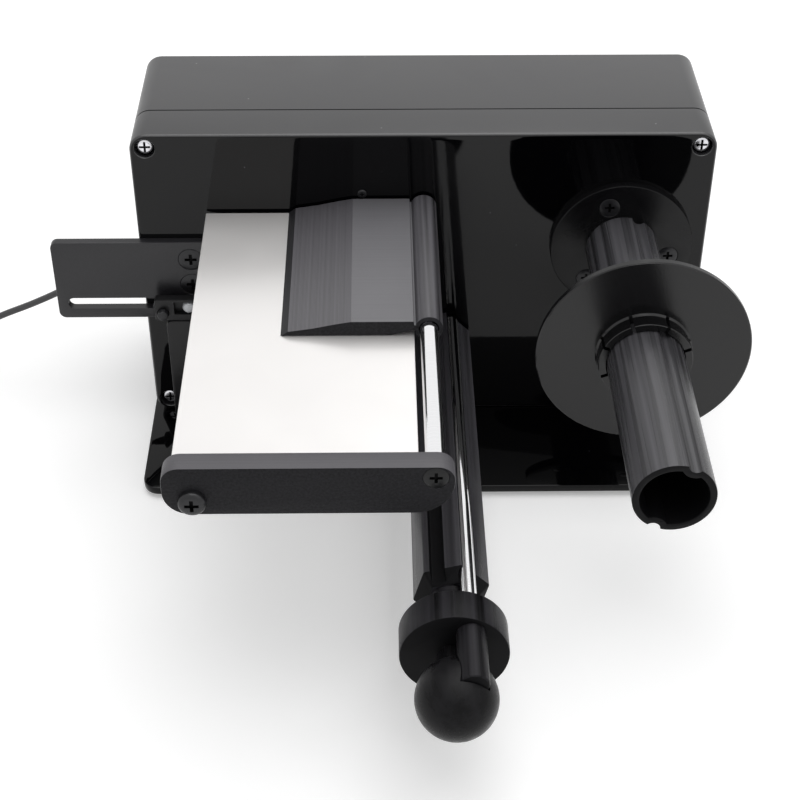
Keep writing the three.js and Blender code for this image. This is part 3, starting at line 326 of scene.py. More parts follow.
class Finish:  # a material under construction, on object coordinates
    def __init__(self, name, color, roughness, metallic=0.0, specular=0.5):
        looks[name] = bpy.data.materials.new(name)
        looks[name].use_nodes = True
        self.tree = looks[name].node_tree
        self.color, self.roughness, self.height = color, roughness, None
        self.position = added(self.tree, "TexCoord", {})["Object"]
        self.set({"Base Color": (*color, 1), "Roughness": roughness, "Metallic": metallic,
                  "Specular IOR Level": specular})

    def set(self, values):
        feed(self.tree, self.tree.nodes["Principled BSDF"], values)

    def group(self, tree, **values):
        return added(self.tree, "Group", {"Position": self.position, **values}, node_tree=tree)

    def layers(self, axis, pitch):
        split = added(self.tree, "SeparateXYZ", {0: self.position})
        return self.group(layerGroup, Along=split[axis], Pitch=pitch * mm)

    def spread(self, value, low, high):
        ends = {"From Min": 0.3, "From Max": 0.7, "To Min": low, "To Max": high, "Value": value}
        return added(self.tree, "MapRange", ends)["Result"]

    def mix(self, first, second, factor):
        values = {"A": first, "B": second, "Factor": factor}
        return added(self.tree, "Mix", values, data_type="RGBA")["Result"]

    def paint(self, color):
        self.set({"Base Color": color})
        return color

    def shade(self, value, darker, lighter):  # paints from darker to lighter times the base colour
        first = (*[c * darker for c in self.color], 1)
        second = (*[min(1, c * lighter) for c in self.color], 1)
        return self.paint(self.mix(first, second, self.spread(value, 0, 1)))

    def rough(self, value, spread):
        self.set({"Roughness": self.spread(value, self.roughness - spread, self.roughness + spread)})

    def bump(self, height, depth, strength):
        values = {"Strength": strength, "Distance": depth * mm, "Height": height}
        if self.height is not None:
            values["Normal"] = self.height
        self.height = added(self.tree, "Bump", values)["Normal"]
        self.set({"Normal": self.height})

    def grain(self, size, depth, strength):
        height = self.group(grainGroup, Size=size)["Height"]
        self.bump(height, depth, strength)
        return height

    def smudge(self, size, spread):
        amount = self.group(smudgeGroup, Size=size)["Amount"]
        self.rough(amount, spread)
        return amount

    def dust(self, base, size, spread, color):
        mask = self.group(dustGroup, Size=size, Spread=spread)["Mask"]
        self.paint(self.mix(base or (*self.color, 1), (*color, 1), mask))


def glossy(name, color, roughness, specular, smudge, dust, depth=0):
    finish = Finish(name, color, roughness, specular=specular)
    finish.smudge(smudge, 0.02)
    finish.dust(None, *dust)
    if depth:
        finish.grain(60, depth, 0.5)


def satinShell():
    finish = Finish("satin_shell", (0.014, 0.0137, 0.0155), 0.36, specular=0.8)
    tone = finish.shade(finish.smudge(18, 0.05), 0.85, 1.15)
    finish.dust(tone, 150, 0.04, (0.2, 0.2, 0.21))
    finish.grain(2600, 0.02, 0.6)


# Printed parts differ in tone and in the axis across their layers, whose pitch and depth are in mm; the paler
# tones of some are painted sheen, and the bands paint streaks of reflection
def printed(name, color, axis, roughness=0.45, pitch=0.35, depth=0.035, specular=0.6, streak=0.12,
            reflection_bands=None):
    finish = Finish(name, color, roughness, specular=specular)
    layers = finish.layers(axis, pitch)
    finish.bump(layers["Height"], depth, 0.7)
    finish.grain(1500, 0.03, 0.6)
    # painted reflection: the bands swing the base colour between dark and light streaks along Y, and vary the
    # roughness
    if reflection_bands:
        reflection_band = finish.group(reflectionBandGroup)["Amount"]
        finish.shade(reflection_band, *reflection_bands)
        finish.rough(reflection_band, 0.1)
    else:
        finish.shade(layers["Streak"], 1 - streak, 1 + streak)
        finish.smudge(40, 0.03)


def speckled(name, color):  # the open grain of a printed part's last layer
    finish = Finish(name, color, 0.55, specular=0.15)
    finish.shade(finish.grain(1300, 0.16, 0.9), 0.5, 1.7)


def brushed(name, color, roughness, streak=0.1):
    finish = Finish(name, color, roughness, metallic=1)
    streaks = finish.layers("Y", 0.11)["Streak"]
    finish.rough(streaks, roughness * streak * 3)
    finish.shade(streaks, 1 - streak, 1 + streak)
    finish.grain(700, 0.01, 0.3)


def peelSheet():
    finish = Finish("satin_sheet", (0.88, 0.862, 0.85), 0.3, metallic=0.55)
    finish.shade(finish.smudge(35, 0.02), 0.993, 1.007)
    finish.bump(finish.layers("X", 0.3)["Streak"], 0.01, 0.3)


def plainGrain(name, color, roughness, specular=0.5, size=1500, depth=0.02, metallic=0.0):
    finish = Finish(name, color, roughness, metallic, specular)
    finish.shade(finish.grain(size, depth, 0.6), 0.85, 1.15)
    finish.smudge(60, min(0.06, roughness / 2))


def paleDome():
    finish = Finish("pale_dome", (0.85, 0.87, 0.9), 0.08)
    finish.set({"Transmission Weight": 0.35, "IOR": 1.5})
    finish.smudge(300, 0.02)


printTone = (0.016, 0.0156, 0.018)
faceTone = (0.012, 0.0117, 0.0135)
darkTone = (0.003, 0.0029, 0.0035)
# a near-black screw tone, for painted shade
screwShadeTone = (0.004, 0.004, 0.0045)
glossy("gloss_shell", (0.0015, 0.0015, 0.002), 0.05, 0.28, 26, (190, 0.035, (0.12, 0.12, 0.13)), 0.03)
satinShell()
glossy("polished_acrylic", (0.001, 0.001, 0.0013), 0.03, 0.2, 30, (200, 0.03, (0.1, 0.1, 0.11)))
# painted sheen: the flap's print, seen on its flat top, and less so its slope, are far paler than black
# print; painted shade: its tip facet takes the dark face tone
printed("flap_print_and_sheen", (0.12, 0.118, 0.127), "Y", 0.5, 0.42, 0.02, streak=0.04)
printed("flap_slope_and_sheen", (0.078, 0.075, 0.083), "X", 0.5, 0.4, 0.03, streak=0.15)
printed("flap_tip_shade", faceTone, "X", 0.45, 0.3, 0.02, 0.3)
# painted sheen and reflection: the barrel's pale tone and its bands along Y
printed("barrel_print_and_reflection", (0.06, 0.058, 0.064), "Y", 0.33, 0.3, 0.01, 0.5, reflection_bands=(0.1, 2.2))
speckled("flap_grain", faceTone)
# painted sheen: the end plate's top and sides are far paler than black print, while its front keeps the dark
# face tone
printed("end_print_and_sheen", (0.075, 0.072, 0.08), "Y", 0.5, 0.3, 0.015, 0.5, streak=0.06)
speckled("end_grain", faceTone)
plainGrain("flat_print", printTone, 0.34, 0.45)
printed("disc_print", darkTone, "Y", 0.2, 0.3, 0.008, 0.42)
plainGrain("flange_print", darkTone, 0.24, 0.25, depth=0.015)
# painted reflection: the tube's bands along Y
printed("tube_print_and_reflection", (0.026, 0.0255, 0.028), "Y", 0.27, 0.3, 0.008, 0.4, reflection_bands=(0.02, 3.4))
plainGrain("tube_inside", darkTone, 0.5, 0.12)
# painted reflection: the spindle's bands along Y
printed("spindle_print_and_reflection", (0.03, 0.029, 0.033), "Y", 0.32, 0.3, 0.01, 0.35, reflection_bands=(0.3, 1.8))
# painted shade: a dark, dull copy of the print for the spindle's slit and nose facets and the collar's front
# face
plainGrain("painted_shade_print", darkTone, 0.6, 0.1)
# painted reflection: the collar's and the ball's bands along Y
printed("knob_print_and_reflection", (0.005, 0.0048, 0.0055), "Y", 0.3, 0.25, 0.015, 0.1, reflection_bands=(0.05, 6))
printed("ball_print_and_reflection", (0.006, 0.0058, 0.0065), "Y", 0.28, 0.25, 0.012, 0.12, reflection_bands=(0.5, 1.6))
printed("inner_print", printTone, "Z", 0.5, 0.3)
peelSheet()
plainGrain("stage_print", (0.008, 0.0078, 0.0085), 0.34, 0.3)
brushed("chrome_rod", (0.86, 0.86, 0.87), 0.07, 0.05)
plainGrain("bright_zinc", (0.72, 0.72, 0.75), 0.22, size=1200, depth=0.01, metallic=1.0)
plainGrain("black_screw", (0.016, 0.016, 0.018), 0.32, metallic=0.3)
# painted shade: a darker copy of the black screw for the guide screw sunk in its well
plainGrain("screw_in_shade", screwShadeTone, 0.3, 0.3)
# painted shade in the cross recess of every screw head
plainGrain("recess_shade", screwShadeTone, 0.6, 0.1)
plainGrain("foot_rubber", (0.02, 0.02, 0.02), 0.85, size=700, depth=0.05)
plainGrain("black_vinyl", (0.012, 0.012, 0.013), 0.42, size=1000)
plainGrain("cord_vinyl", (0.05, 0.05, 0.052), 0.42, size=1000)
plainGrain("adapter_moulding", (0.014, 0.014, 0.015), 0.5, size=1600, depth=0.05)
paleDome()
plainGrain("board_laminate", (0.02, 0.11, 0.045), 0.4, size=500)
brushed("motor_steel", (0.5, 0.5, 0.52), 0.35)
print("finishes made:", len(looks))


# Modelling steps shared by the pieces
def settled(name):  # names the primitive just added and moves its place into its mesh
    piece = bpy.context.object
    piece.name = name
    bpy.ops.object.transform_apply(location=True, rotation=True, scale=True)
    return piece


def editAll():
    bpy.ops.object.mode_set(mode="EDIT")
    bpy.ops.mesh.select_all(action="SELECT")


def closeEdit():  # merges doubles, turns the faces outwards and leaves edit mode
    bpy.ops.mesh.select_all(action="SELECT")
    bpy.ops.mesh.remove_doubles(threshold=0.002 * mm)
    bpy.ops.mesh.normals_make_consistent(inside=False)
    bpy.ops.object.mode_set(mode="OBJECT")


def block(name, low, high):
    bpy.ops.object.select_all(action="DESELECT")
    low, high = at(*low), at(*high)
    bpy.ops.mesh.primitive_cube_add(size=1, location=(low + high) / 2, scale=high - low)
    return settled(name)


def turned(name, start, direction, sections, sides=64, corner=None):
    # sections are pairs of a distance along the direction and a radius
    bpy.ops.object.select_all(action="DESELECT")
    start, along = Vector(start), Vector(direction)
    place, radius = sections[0]
    tilt = along.to_track_quat("Z", "Y").to_euler()
    centre = at(*(start + along * place))
    bpy.ops.mesh.primitive_circle_add(
        vertices=sides, radius=radius * mm, fill_type="NGON", location=centre, rotation=tilt)
    piece = settled(name)
    if corner is not None:
        first = piece.data.vertices[0].co - centre
        turn = math.radians(corner) - math.atan2(first.z, first.x)
        spin = Matrix.Rotation(-turn, 4, "Y")
        piece.data.transform(Matrix.Translation(centre) @ spin @ Matrix.Translation(-centre))
    editAll()
    for nextPlace, nextRadius in sections[1:]:
        step = along * (nextPlace - place) * mm
        bpy.ops.mesh.extrude_region_move(TRANSFORM_OT_translate={"value": step})
        share = nextRadius / radius
        centre = at(*(start + along * nextPlace))
        bpy.ops.transform.resize(value=(share, share, share), center_override=centre)
        place, radius = nextPlace, nextRadius
    closeEdit()
    return piece


def straight(name, start, direction, radius, length, sides=64, corner=None):
    return turned(name, start, direction, [(0, radius), (length, radius)], sides, corner)


def edgedBar(name, start, radius, length, edge):  # along Y, with a chamfer at both ends
    sections = [(0, radius - edge), (edge, radius), (length - edge, radius), (length, radius - edge)]
    return turned(name, start, toBack, sections)


def endRim(length, radius, edge):  # the last sections of a turned piece whose rim is rounded
    return [(length - edge, radius), (length - edge * 0.3, radius - edge * 0.3), (length, radius - edge)]


def profiled(name, points, start, end):  # points are pairs of X and Z, and the profile runs along Y
    bpy.ops.object.select_all(action="DESELECT")
    bpy.ops.mesh.primitive_circle_add(vertices=len(points), radius=mm, fill_type="NGON")
    piece = settled(name)
    for vertex, (x, z) in zip(piece.data.vertices, points):
        vertex.co = at(x, start, z)
    editAll()
    bpy.ops.mesh.extrude_region_move(TRANSFORM_OT_translate={"value": Vector((0, (end - start) * mm, 0))})
    closeEdit()
    return piece


def arc(centre, radius, first, last, steps=8):
    angles = [math.radians(first + (last - first) * step / steps) for step in range(steps + 1)]
    return [(centre[0] + radius * math.cos(angle), centre[1] + radius * math.sin(angle)) for angle in angles]


def roundedOutline(low, high, radii):  # radii from lower left round
    a, b, c, d = radii
    points = arc((low[0] + a, low[1] + a), a, 180, 270) + arc((high[0] - b, low[1] + b), b, 270, 360)
    return points + arc((high[0] - c, high[1] - c), c, 0, 90) + arc((low[0] + d, high[1] - d), d, 90, 180)


def roundEdges(piece, width, segments, test):  # bevels the edges whose two ends, in mm, pass the test
    scene.tool_settings.mesh_select_mode = (False, True, False)
    bpy.context.view_layer.objects.active = piece
    mesh = piece.data
    for item in (*mesh.vertices, *mesh.edges, *mesh.polygons):
        item.select = False
    places = [(vertex.co - origin) / mm for vertex in mesh.vertices]
    for edge in mesh.edges:
        a, b = (places[i] for i in edge.vertices)
        edge.select = bool(test(a, b))
    bpy.ops.object.mode_set(mode="EDIT")
    bpy.ops.mesh.bevel(offset=width * mm, segments=segments, affect="EDGES")
    bpy.ops.object.mode_set(mode="OBJECT")


def runs(axis):  # edges that run along an axis
    i = "XYZ".index(axis)
    others = [k for k in range(3) if k != i]
    return lambda a, b: all(abs(a[k] - b[k]) < 0.01 for k in others) and abs(a[i] - b[i]) > 0.01


def lies(axis, *planes):  # edges that lie in one of some planes across an axis
    i = "XYZ".index(axis)
    return lambda a, b: any(abs(a[i] - plane) < 0.01 and abs(b[i] - plane) < 0.01 for plane in planes)


def roundedPlate(name, node, radii, edge, both=False):  # a flat piece across Y, as large as its node
    low, high = local(node)[:2]
    plate = profiled(name, roundedOutline((low.x, low.z), (high.x, high.z), radii), low.y, high.y)
    roundEdges(plate, edge, 2, lies("Y", low.y, high.y if both else low.y))
    return plate


def applied(piece, modifier):
    bpy.context.view_layer.objects.active = piece
    bpy.ops.object.modifier_apply(modifier=modifier.name)


def combine(piece, other, operation):
    modifier = piece.modifiers.new("combine", "BOOLEAN")
    modifier.operation = operation
    modifier.solver = "EXACT"
    modifier.object = other
    applied(piece, modifier)
    bpy.data.objects.remove(other)


def cut(piece, *cutters):
    for cutter in cutters:
        combine(piece, cutter, "DIFFERENCE")


def drill(piece, start, hole, direction=toBack):  # a hole is a radius, a depth and often a flare
    radius, depth, flare = (*hole, 0.1)[:3]
    sections = [(-1, radius + flare), (0, radius + flare), (flare, radius), (depth, radius)]
    cut(piece, turned("drill", start, direction, sections, 48))


def outwardAt(angle):  # direction across Y, in degrees from X towards Z
    return Vector((math.cos(math.radians(angle)), 0, math.sin(math.radians(angle))))


def swung(cutter, axis, angle):  # carries a cutter from the middle line to an axis along Y, turned by degrees
    turn = Matrix.Rotation(-math.radians(angle), 4, "Y")
    cutter.data.transform(Matrix.Translation(at(axis.x, 0, axis.z)) @ turn @ Matrix.Translation(-origin))
    return cutter


def soften(piece, width, angle):
    modifier = piece.modifiers.new("soften", "BEVEL")
    modifier.width = width * mm
    modifier.segments = 2
    modifier.limit_method = "ANGLE"
    modifier.angle_limit = math.radians(angle)
    applied(piece, modifier)


def paintFaces(piece, look, test):  # faces whose normal and centre pass the test
    piece.data.materials.append(looks[look])
    for face in piece.data.polygons:
        if test(face.normal, (face.center - origin) / mm):
            face.material_index = len(piece.data.materials) - 1


def dress(piece, node, look, body="chassis", angle=35):
    bpy.ops.object.select_all(action="DESELECT")
    piece.select_set(True)
    bpy.context.view_layer.objects.active = piece
    bpy.ops.object.shade_smooth_by_angle(angle=math.radians(angle))
    piece.data.materials.clear()
    piece.data.materials.append(looks[look])
    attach(piece, body)
    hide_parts(node)


def repeated(piece, nodes, names):  # the piece at the first node and a copy at each of the others
    pieces = [piece]
    for node, name in zip(nodes[1:], names[1:]):
        twin = piece.copy()
        twin.data = piece.data.copy()
        twin.name = name
        twin.data.transform(Matrix.Translation((middleOf(node) - middleOf(nodes[0])) * mm))
        scene.collection.objects.link(twin)
        pieces.append(twin)
    return pieces


# Screws: radius and height of the head, radius and length of the shank, and reach of the cross as a share
screws = {"lid": (3, 2, 1.5, 26, 0.64), "face": (1.6, 0.6, 1, 6, 0.5), "endGuide": (3.7, 2.4, 1.6, 12, 0.5),
          "endSpacer": (4.1, 2.4, 1.6, 13, 0.5), "bracket": (4.3, 2.3, 1.9, 6.7, 0.5),
          "spool": (3.5, 2.1, 1.6, 7.9, 0.5)}
crossRecess = {"width": 0.13, "depth": 0.3, "start": 0.15}  # shares of the head's radius, and of its height
panHead = ((1, 1), (0.55, 1), (0.3, 0.95), (0.12, 0.82), (0.04, 0.62), (0, 0.4))  # shares of height, radius


def screwSet(kind, nodes, look, sunk=False):  # modelled once, head in front, and copied
    radius, height, shank, length, reach = screws[kind]
    face = spot(middleOf(nodes[0]), local(nodes[0])[0].y)
    if sunk:
        head, start = [(0.25, radius), (0.08, radius), (0, radius - 0.12)], 0
    else:
        head, start = [(height * a, radius * b) for a, b in panHead], crossRecess["start"] * height
    sections = [(height + length, shank), (height, shank), *head, (0, 0.05)]
    screw = turned(nodes[0] + "_cut", face, toBack, sections, 40)
    top = face + Vector((0, start, 0))
    long, wide, deep = radius * reach, radius * crossRecess["width"], radius * crossRecess["depth"]
    for x, z in ((long, wide), (wide, long)):
        cut(screw, block("cross", (top.x - x, top.y - 1, top.z - z), (top.x + x, top.y + deep, top.z + z)))
    for piece, node in zip(repeated(screw, nodes, [node + "_cut" for node in nodes]), nodes):
        centre = face + middleOf(node) - middleOf(nodes[0])
        dress(piece, node, look)
        # painted shade in the cross recess
        paintFaces(piece, "recess_shade", lambda normal, place: place.y > centre.y + height * 0.05 + 0.05 and
                   away(place, centre) < radius * 0.66)


# Enclosure in two shells
housing = {"corner": 6, "frontEdge": 1, "rearEdge": 1.2, "seamWidth": 0.3, "seamDepth": 0.9, "wall": 2.5,
           "lidWall": 3, "screwInset": 5.2, "screwWell": (3.5, 3.2, 0.2), "bushHole": (7.9, 4),
           "inletHole": (4.2, 8)}


def housingBlock(name, inset, start, end, segments=10):  # as wide and high as the enclosure, less an inset
    piece = block(name, (inset - halfBox, start, inset), (halfBox - inset, end, boxHeight - inset))
    if segments:
        roundEdges(piece, housing["corner"] - inset, segments, runs("Y"))
    return piece


def cutSeam(shell, start, end):  # half of the shadow groove round the enclosure
    outer = housingBlock("outer", -1, start, end, 0)
    cut(outer, housingBlock("inner", housing["seamDepth"], start - 1, end + 1))
    cut(shell, outer)


def makeLid():
    lid = housingBlock("lid_shell", 0, 0, lidDepth)
    roundEdges(lid, housing["frontEdge"], 4, lies("Y", 0))
    cutSeam(lid, lidDepth - housing["seamWidth"], lidDepth + 1)
    cut(lid, housingBlock("pocket", housing["wall"], housing["lidWall"], lidDepth + 1, 6))
    inset = housing["screwInset"]
    for x in (inset - halfBox, halfBox - inset):
        for z in (inset, boxHeight - inset):
            drill(lid, (x, 0, z), housing["screwWell"])
    drill(lid, spot(middleOf("spindle_bush"), 0), housing["bushHole"])
    dress(lid, "front_lid", "satin_shell", angle=30)
    paintFaces(lid, "gloss_shell", lambda normal, place: normal.y < -0.9)


def makeCase():
    case = housingBlock("case_shell", 0, lidDepth, boxDepth)
    roundEdges(case, housing["rearEdge"], 5, lies("Y", boxDepth))
    cutSeam(case, lidDepth - 1, lidDepth + housing["seamWidth"])
    cut(case, housingBlock("pocket", housing["wall"], 0, boxDepth - housing["wall"], 6))
    hole = middleOf("power_inlet")
    drill(case, (-halfBox, hole.y, hole.z), housing["inletHole"], toRight)
    dress(case, "rear_case", "satin_shell", angle=30)


makeLid()
makeCase()
screwSet("lid", numbered("lid_screw", 4), "bright_zinc")
print("enclosure modelled")

# Base plate and feet
plinth = {"corner": 6, "edge": 0.3, "screwHole": (3.1, 4), "footEdge": 0.5, "footHollow": 0.4}


def makeBase():
    low, high = local("base_plate")[:2]
    base = block("base_sheet", low, high)
    roundEdges(base, plinth["corner"], 12, runs("Z"))
    roundEdges(base, plinth["edge"], 2, lies("Z", low.z, high.z))
    for node in numbered("base_screw", 4):
        screw = middleOf(node)
        drill(base, (screw.x, screw.y, low.z), plinth["screwHole"], up)
    dress(base, "base_plate", "polished_acrylic")


def makeFeet():
    feet = numbered("foot", 4)
    low, high, centre = local(feet[0])
    radius, height = (high.x - low.x) / 2, high.z - low.z
    inside = height - plinth["footHollow"]
    sections = [(0, radius), *endRim(height, radius, plinth["footEdge"]), (height, radius * 0.6)]
    sections += [(inside, radius * 0.5), (inside, 0.1)]
    foot = turned("foot_pad_1", (centre.x, centre.y, high.z), down, sections, 48)
    for pad, node in zip(repeated(foot, feet, numbered("foot_pad", 4)), feet):
        dress(pad, node, "foot_rubber")


makeBase()
makeFeet()
print("base plate and feet modelled")

# Rods, peel plate and end plate
rail = {"rodEdge": 0.35, "plateEdge": 0.12, "nose": 4.5, "tip": 0.7, "endEdge": 0.4, "grooveGap": 0.15,
        "guideWell": (3.85, 2.5, 0), "spacerHole": (1.8, 7), "endCorners": (7.9, 11.4, 4.95, 5.3)}


def makeRod(name, node, body="chassis"):
    low, high, centre = local(node)
    rod = edgedBar(name, spot(centre, low.y), (high.z - low.z) / 2, high.y - low.y, rail["rodEdge"])
    dress(rod, node, "chrome_rod", body)


def makeEndPlate():
    front = local("end_plate")[0].y
    plate = roundedPlate("end_guide", "end_plate", rail["endCorners"], rail["endEdge"], both=True)
    sheetLow, sheetHigh = local("peel_plate")[:2]
    gap = rail["grooveGap"]
    cut(plate, block("groove", (sheetLow.x - gap, sheetLow.y - gap, sheetLow.z - gap),
                     (sheetHigh.x + gap, 0, sheetHigh.z + gap)))
    drill(plate, spot(middleOf("end_screw_guide"), front), rail["guideWell"])
    drill(plate, spot(middleOf("end_screw_spacer"), front), rail["spacerHole"])
    # a pale tone as painted sheen on all faces but the front
    dress(plate, "end_plate", "end_print_and_sheen")
    paintFaces(plate, "end_grain", lambda normal, place: normal.y < -0.9)


def makePeelPlate():
    low, high = local("peel_plate")[:2]
    tip = rail["tip"] / 2
    points = [(high.x, low.z), (high.x, high.z), *arc((low.x + tip, high.z - tip), tip, 90, 180, 5)]
    points += [(low.x, high.z - 2 * tip), (low.x + rail["nose"], low.z)]
    plate = profiled("peel_sheet", points, low.y, high.y)
    roundEdges(plate, rail["plateEdge"], 1, lambda a, b: lies("Y", low.y)(a, b) or
               (runs("Y")(a, b) and a.x > high.x - 0.01))
    dress(plate, "peel_plate", "satin_sheet", angle=40)


makeRod("guide_bar", "guide_rod")
makeRod("spacer_bar", "spacer_rod")
makeEndPlate()
makePeelPlate()
# the guide screw darkened as painted shade in its well
screwSet("endGuide", ["end_screw_guide"], "screw_in_shade", sunk=True)
screwSet("endSpacer", ["end_screw_spacer"], "black_screw")
print("rods and plates modelled")

# Hinged press flap with its barrel round the guide rod; its top is given in shares of reach and thickness
press = {"gap": 0.15, "thickness": 5.3, "reach": 46.6, "arch": 0.264, "groove": 0.4, "neck": 1.7,
         "neckAngle": 20, "overlap": 2.9, "edge": 0.25, "softEdge": 0.15, "bore": 3.2,
         "top": ((0.526, 1), (0.627, 0.84), (0.788, 0.53), (0.951, 0.31))}


def makeFlap():
    low, high = local("press_flap")[:2]
    rod = middleOf("guide_rod")
    barrel, length, edge = high.x - rod.x, high.y - low.y, press["edge"]
    floor = local("peel_plate")[1].z + press["gap"]
    neckAngle = math.radians(press["neckAngle"])
    neckTop = rod.z + barrel * math.sin(neckAngle)
    neckLow = neckTop - press["neck"]
    reach, thickness = press["reach"], press["thickness"]
    top = [(rod.x - reach * share, floor + thickness * height) for share, height in press["top"]]
    shoulders = [x for x, z in top] + [rod.x - barrel - press["groove"]]
    flap = profiled("flap_body", [
        (rod.x - reach, floor),
        (rod.x - reach * press["arch"], floor),
        (rod.x - barrel * math.cos(neckAngle), neckLow),
        (rod.x - press["overlap"], neckLow),
        (rod.x - press["overlap"], neckTop),
        (rod.x - barrel - press["groove"] / 2, neckTop),
        (shoulders[-1], floor + thickness),
        *top], low.y, high.y)
    roundEdges(flap, press["softEdge"], 2, lambda a, b: runs("Y")(a, b) and a.z > floor + 0.1 and
               any(abs(a.x - x) < 0.01 for x in shoulders))
    roundEdges(flap, edge, 2, lambda a, b: max(a.x, b.x) < rod.x - barrel and lies("Y", low.y, high.y)(a, b))
    combine(flap, edgedBar("barrel", spot(rod, low.y), barrel, length, edge), "UNION")
    cut(flap, straight("bore", spot(rod, low.y - 1), toBack, press["bore"], length + 2))
    dress(flap, "press_flap", "flap_print_and_sheen", body="flap", angle=30)
    # painted sheen on the flap's top and slope, painted shade on its tip facet
    paintFaces(flap, "flap_slope_and_sheen", lambda normal, place: normal.z > 0.9 and place.x < shoulders[0] + 0.1)
    paintFaces(flap, "flap_tip_shade", lambda normal, place: normal.z < 0.9 and place.x < shoulders[3] + 0.1)
    # the barrel with its painted sheen and reflection bands
    paintFaces(flap, "barrel_print_and_reflection", lambda normal, place: away(place, rod) < barrel + 0.05)
    paintFaces(flap, "flap_grain", lambda normal, place: abs(normal.y) > 0.5)


makeFlap()
screwSet("face", ["face_screw"], "black_screw")
print("press flap modelled")

# Sensor bracket with its slot, and the carrier that slides along it; the window is given from the stud,
# the right side, the bottom and the top
sensor = {"bracketCorner": 2.5, "edge": 0.3, "slotHeight": 4.6, "slotShare": 0.98, "slotEnds": (3.7, 6),
          "screwWell": (4.4, 2.4, 0.12), "carrierCorner": 0.8, "window": (3.9, 3, 2.7, 0.7),
          "windowDepth": 2.2, "windowCorner": 0.5, "studHole": (2.1, 6), "lensBase": 1,
          "coverCorners": (2, 2, 0.8, 2), "coverEdge": 0.4, "studEdge": (0.35, 0.12),
          "nutAcross": 7, "nutEdge": 0.3, "nutShare": 0.93, "nutHole": (2.1, 5, 0.2)}


def makeBracket():
    low, high = local("sensor_bracket")[:2]
    plate = roundedPlate("bracket_plate", "sensor_bracket", [sensor["bracketCorner"]] * 4, sensor["edge"])
    stud = middleOf("carrier_stud")
    left, right = sensor["slotEnds"]
    half = sensor["slotHeight"] / 2
    outline = roundedOutline((low.x + left, stud.z - half), (high.x - right, stud.z + half),
                             [half * sensor["slotShare"]] * 4)
    cut(plate, profiled("slot", outline, low.y - 1, high.y + 1))
    for node in numbered("bracket_screw", 2):
        drill(plate, spot(middleOf(node), low.y), sensor["screwWell"])
    dress(plate, "sensor_bracket", "flat_print")


def makeCarrier():
    low, high = local("sensor_carrier")[:2]
    stud = middleOf("carrier_stud")
    plate = roundedPlate("carrier_plate", "sensor_carrier", [sensor["carrierCorner"]] * 4, sensor["edge"])
    left, right, sill, roof = sensor["window"]
    window = block("window", (stud.x + left, low.y - 1, low.z + sill),
                   (high.x - right, low.y + sensor["windowDepth"], high.z - roof))
    roundEdges(window, sensor["windowCorner"], 3, runs("Y"))
    cut(plate, window)
    drill(plate, spot(stud, low.y), sensor["studHole"])
    dress(plate, "sensor_carrier", "stage_print", body="carrier")


def makeLens(name, node):
    low, high, centre = local(node)
    radius, base = (high.x - low.x) / 2, sensor["lensBase"]
    rise = high.y - low.y - base
    angles = [math.radians(90 * step / 8) for step in range(1, 8)]
    dome = [(base + rise * math.sin(angle), radius * math.cos(angle)) for angle in angles]
    sections = [(0, radius), (base, radius), *dome, (high.y - low.y, 0.03)]
    lens = turned(name, spot(centre, high.y), toFront, sections, 32)
    dress(lens, node, "pale_dome", "carrier", angle=60)


def makeCover():
    cover = roundedPlate("carrier_cover", "sensor_cover", sensor["coverCorners"], sensor["coverEdge"])
    dress(cover, "sensor_cover", "stage_print", body="carrier")


def makeStud():
    low, high, centre = local("carrier_stud")
    radius, (edge, soft) = (high.x - low.x) / 2, sensor["studEdge"]
    sections = [(0, radius - edge), (soft, radius - soft), (edge, radius), (high.y - low.y, radius)]
    stud = turned("slide_stud", spot(centre, low.y), toBack, sections, 40)
    dress(stud, "carrier_stud", "black_screw", "carrier")
    low, high = local("carrier_nut")[:2]
    length, edge = high.y - low.y, sensor["nutEdge"]
    radius = sensor["nutAcross"] / math.sqrt(3)
    sections = [(0, radius * sensor["nutShare"]), (edge, radius), (length - edge, radius)]
    sections.append((length, radius * sensor["nutShare"]))
    nut = turned("lock_nut", spot(centre, low.y), toBack, sections, 6, corner=0)
    drill(nut, spot(centre, low.y), sensor["nutHole"])
    dress(nut, "carrier_nut", "black_screw", "carrier")


makeBracket()
makeCarrier()
makeLens("emitter_dome", "sensor_emitter")
makeLens("receiver_dome", "sensor_receiver")
makeCover()
makeStud()
screwSet("bracket", numbered("bracket_screw", 2), "black_screw", sunk=True)
print("sensor bracket and carrier modelled")

# Supply spool: a fluted tube on a flange, with the disc that slides on it
spool = {"tube": 12.5, "wall": 2.2, "flange": 3, "flangeEdge": 0.4, "flute": 2.4, "fluteOffset": 0.8,
         "fluteAngle": 66, "rim": 0.4, "screwWell": (3.6, 2.2, 0.12)}
disc = {"bore": 12.8, "hubWall": 2.4, "thickness": 2.5, "edge": 0.35, "foot": 0.6, "hubEdge": 0.2,
        "frontFlare": 0.1, "backFlare": 0.3, "slits": 8, "slitWidth": 1.2}


def spoolBar(axis, radius, fluteRadius, front, back):
    bar = straight("spool_bar", spot(axis, front), toBack, radius, back - front, 128)
    for turn in (0, 180):
        angle = math.radians(spool["fluteAngle"] + turn)
        reach = spool["tube"] + spool["fluteOffset"]
        place = (axis.x + reach * math.cos(angle), front - 1, axis.z + reach * math.sin(angle))
        cut(bar, straight("flute", place, toBack, fluteRadius, back - front + 2, 32))
    return bar


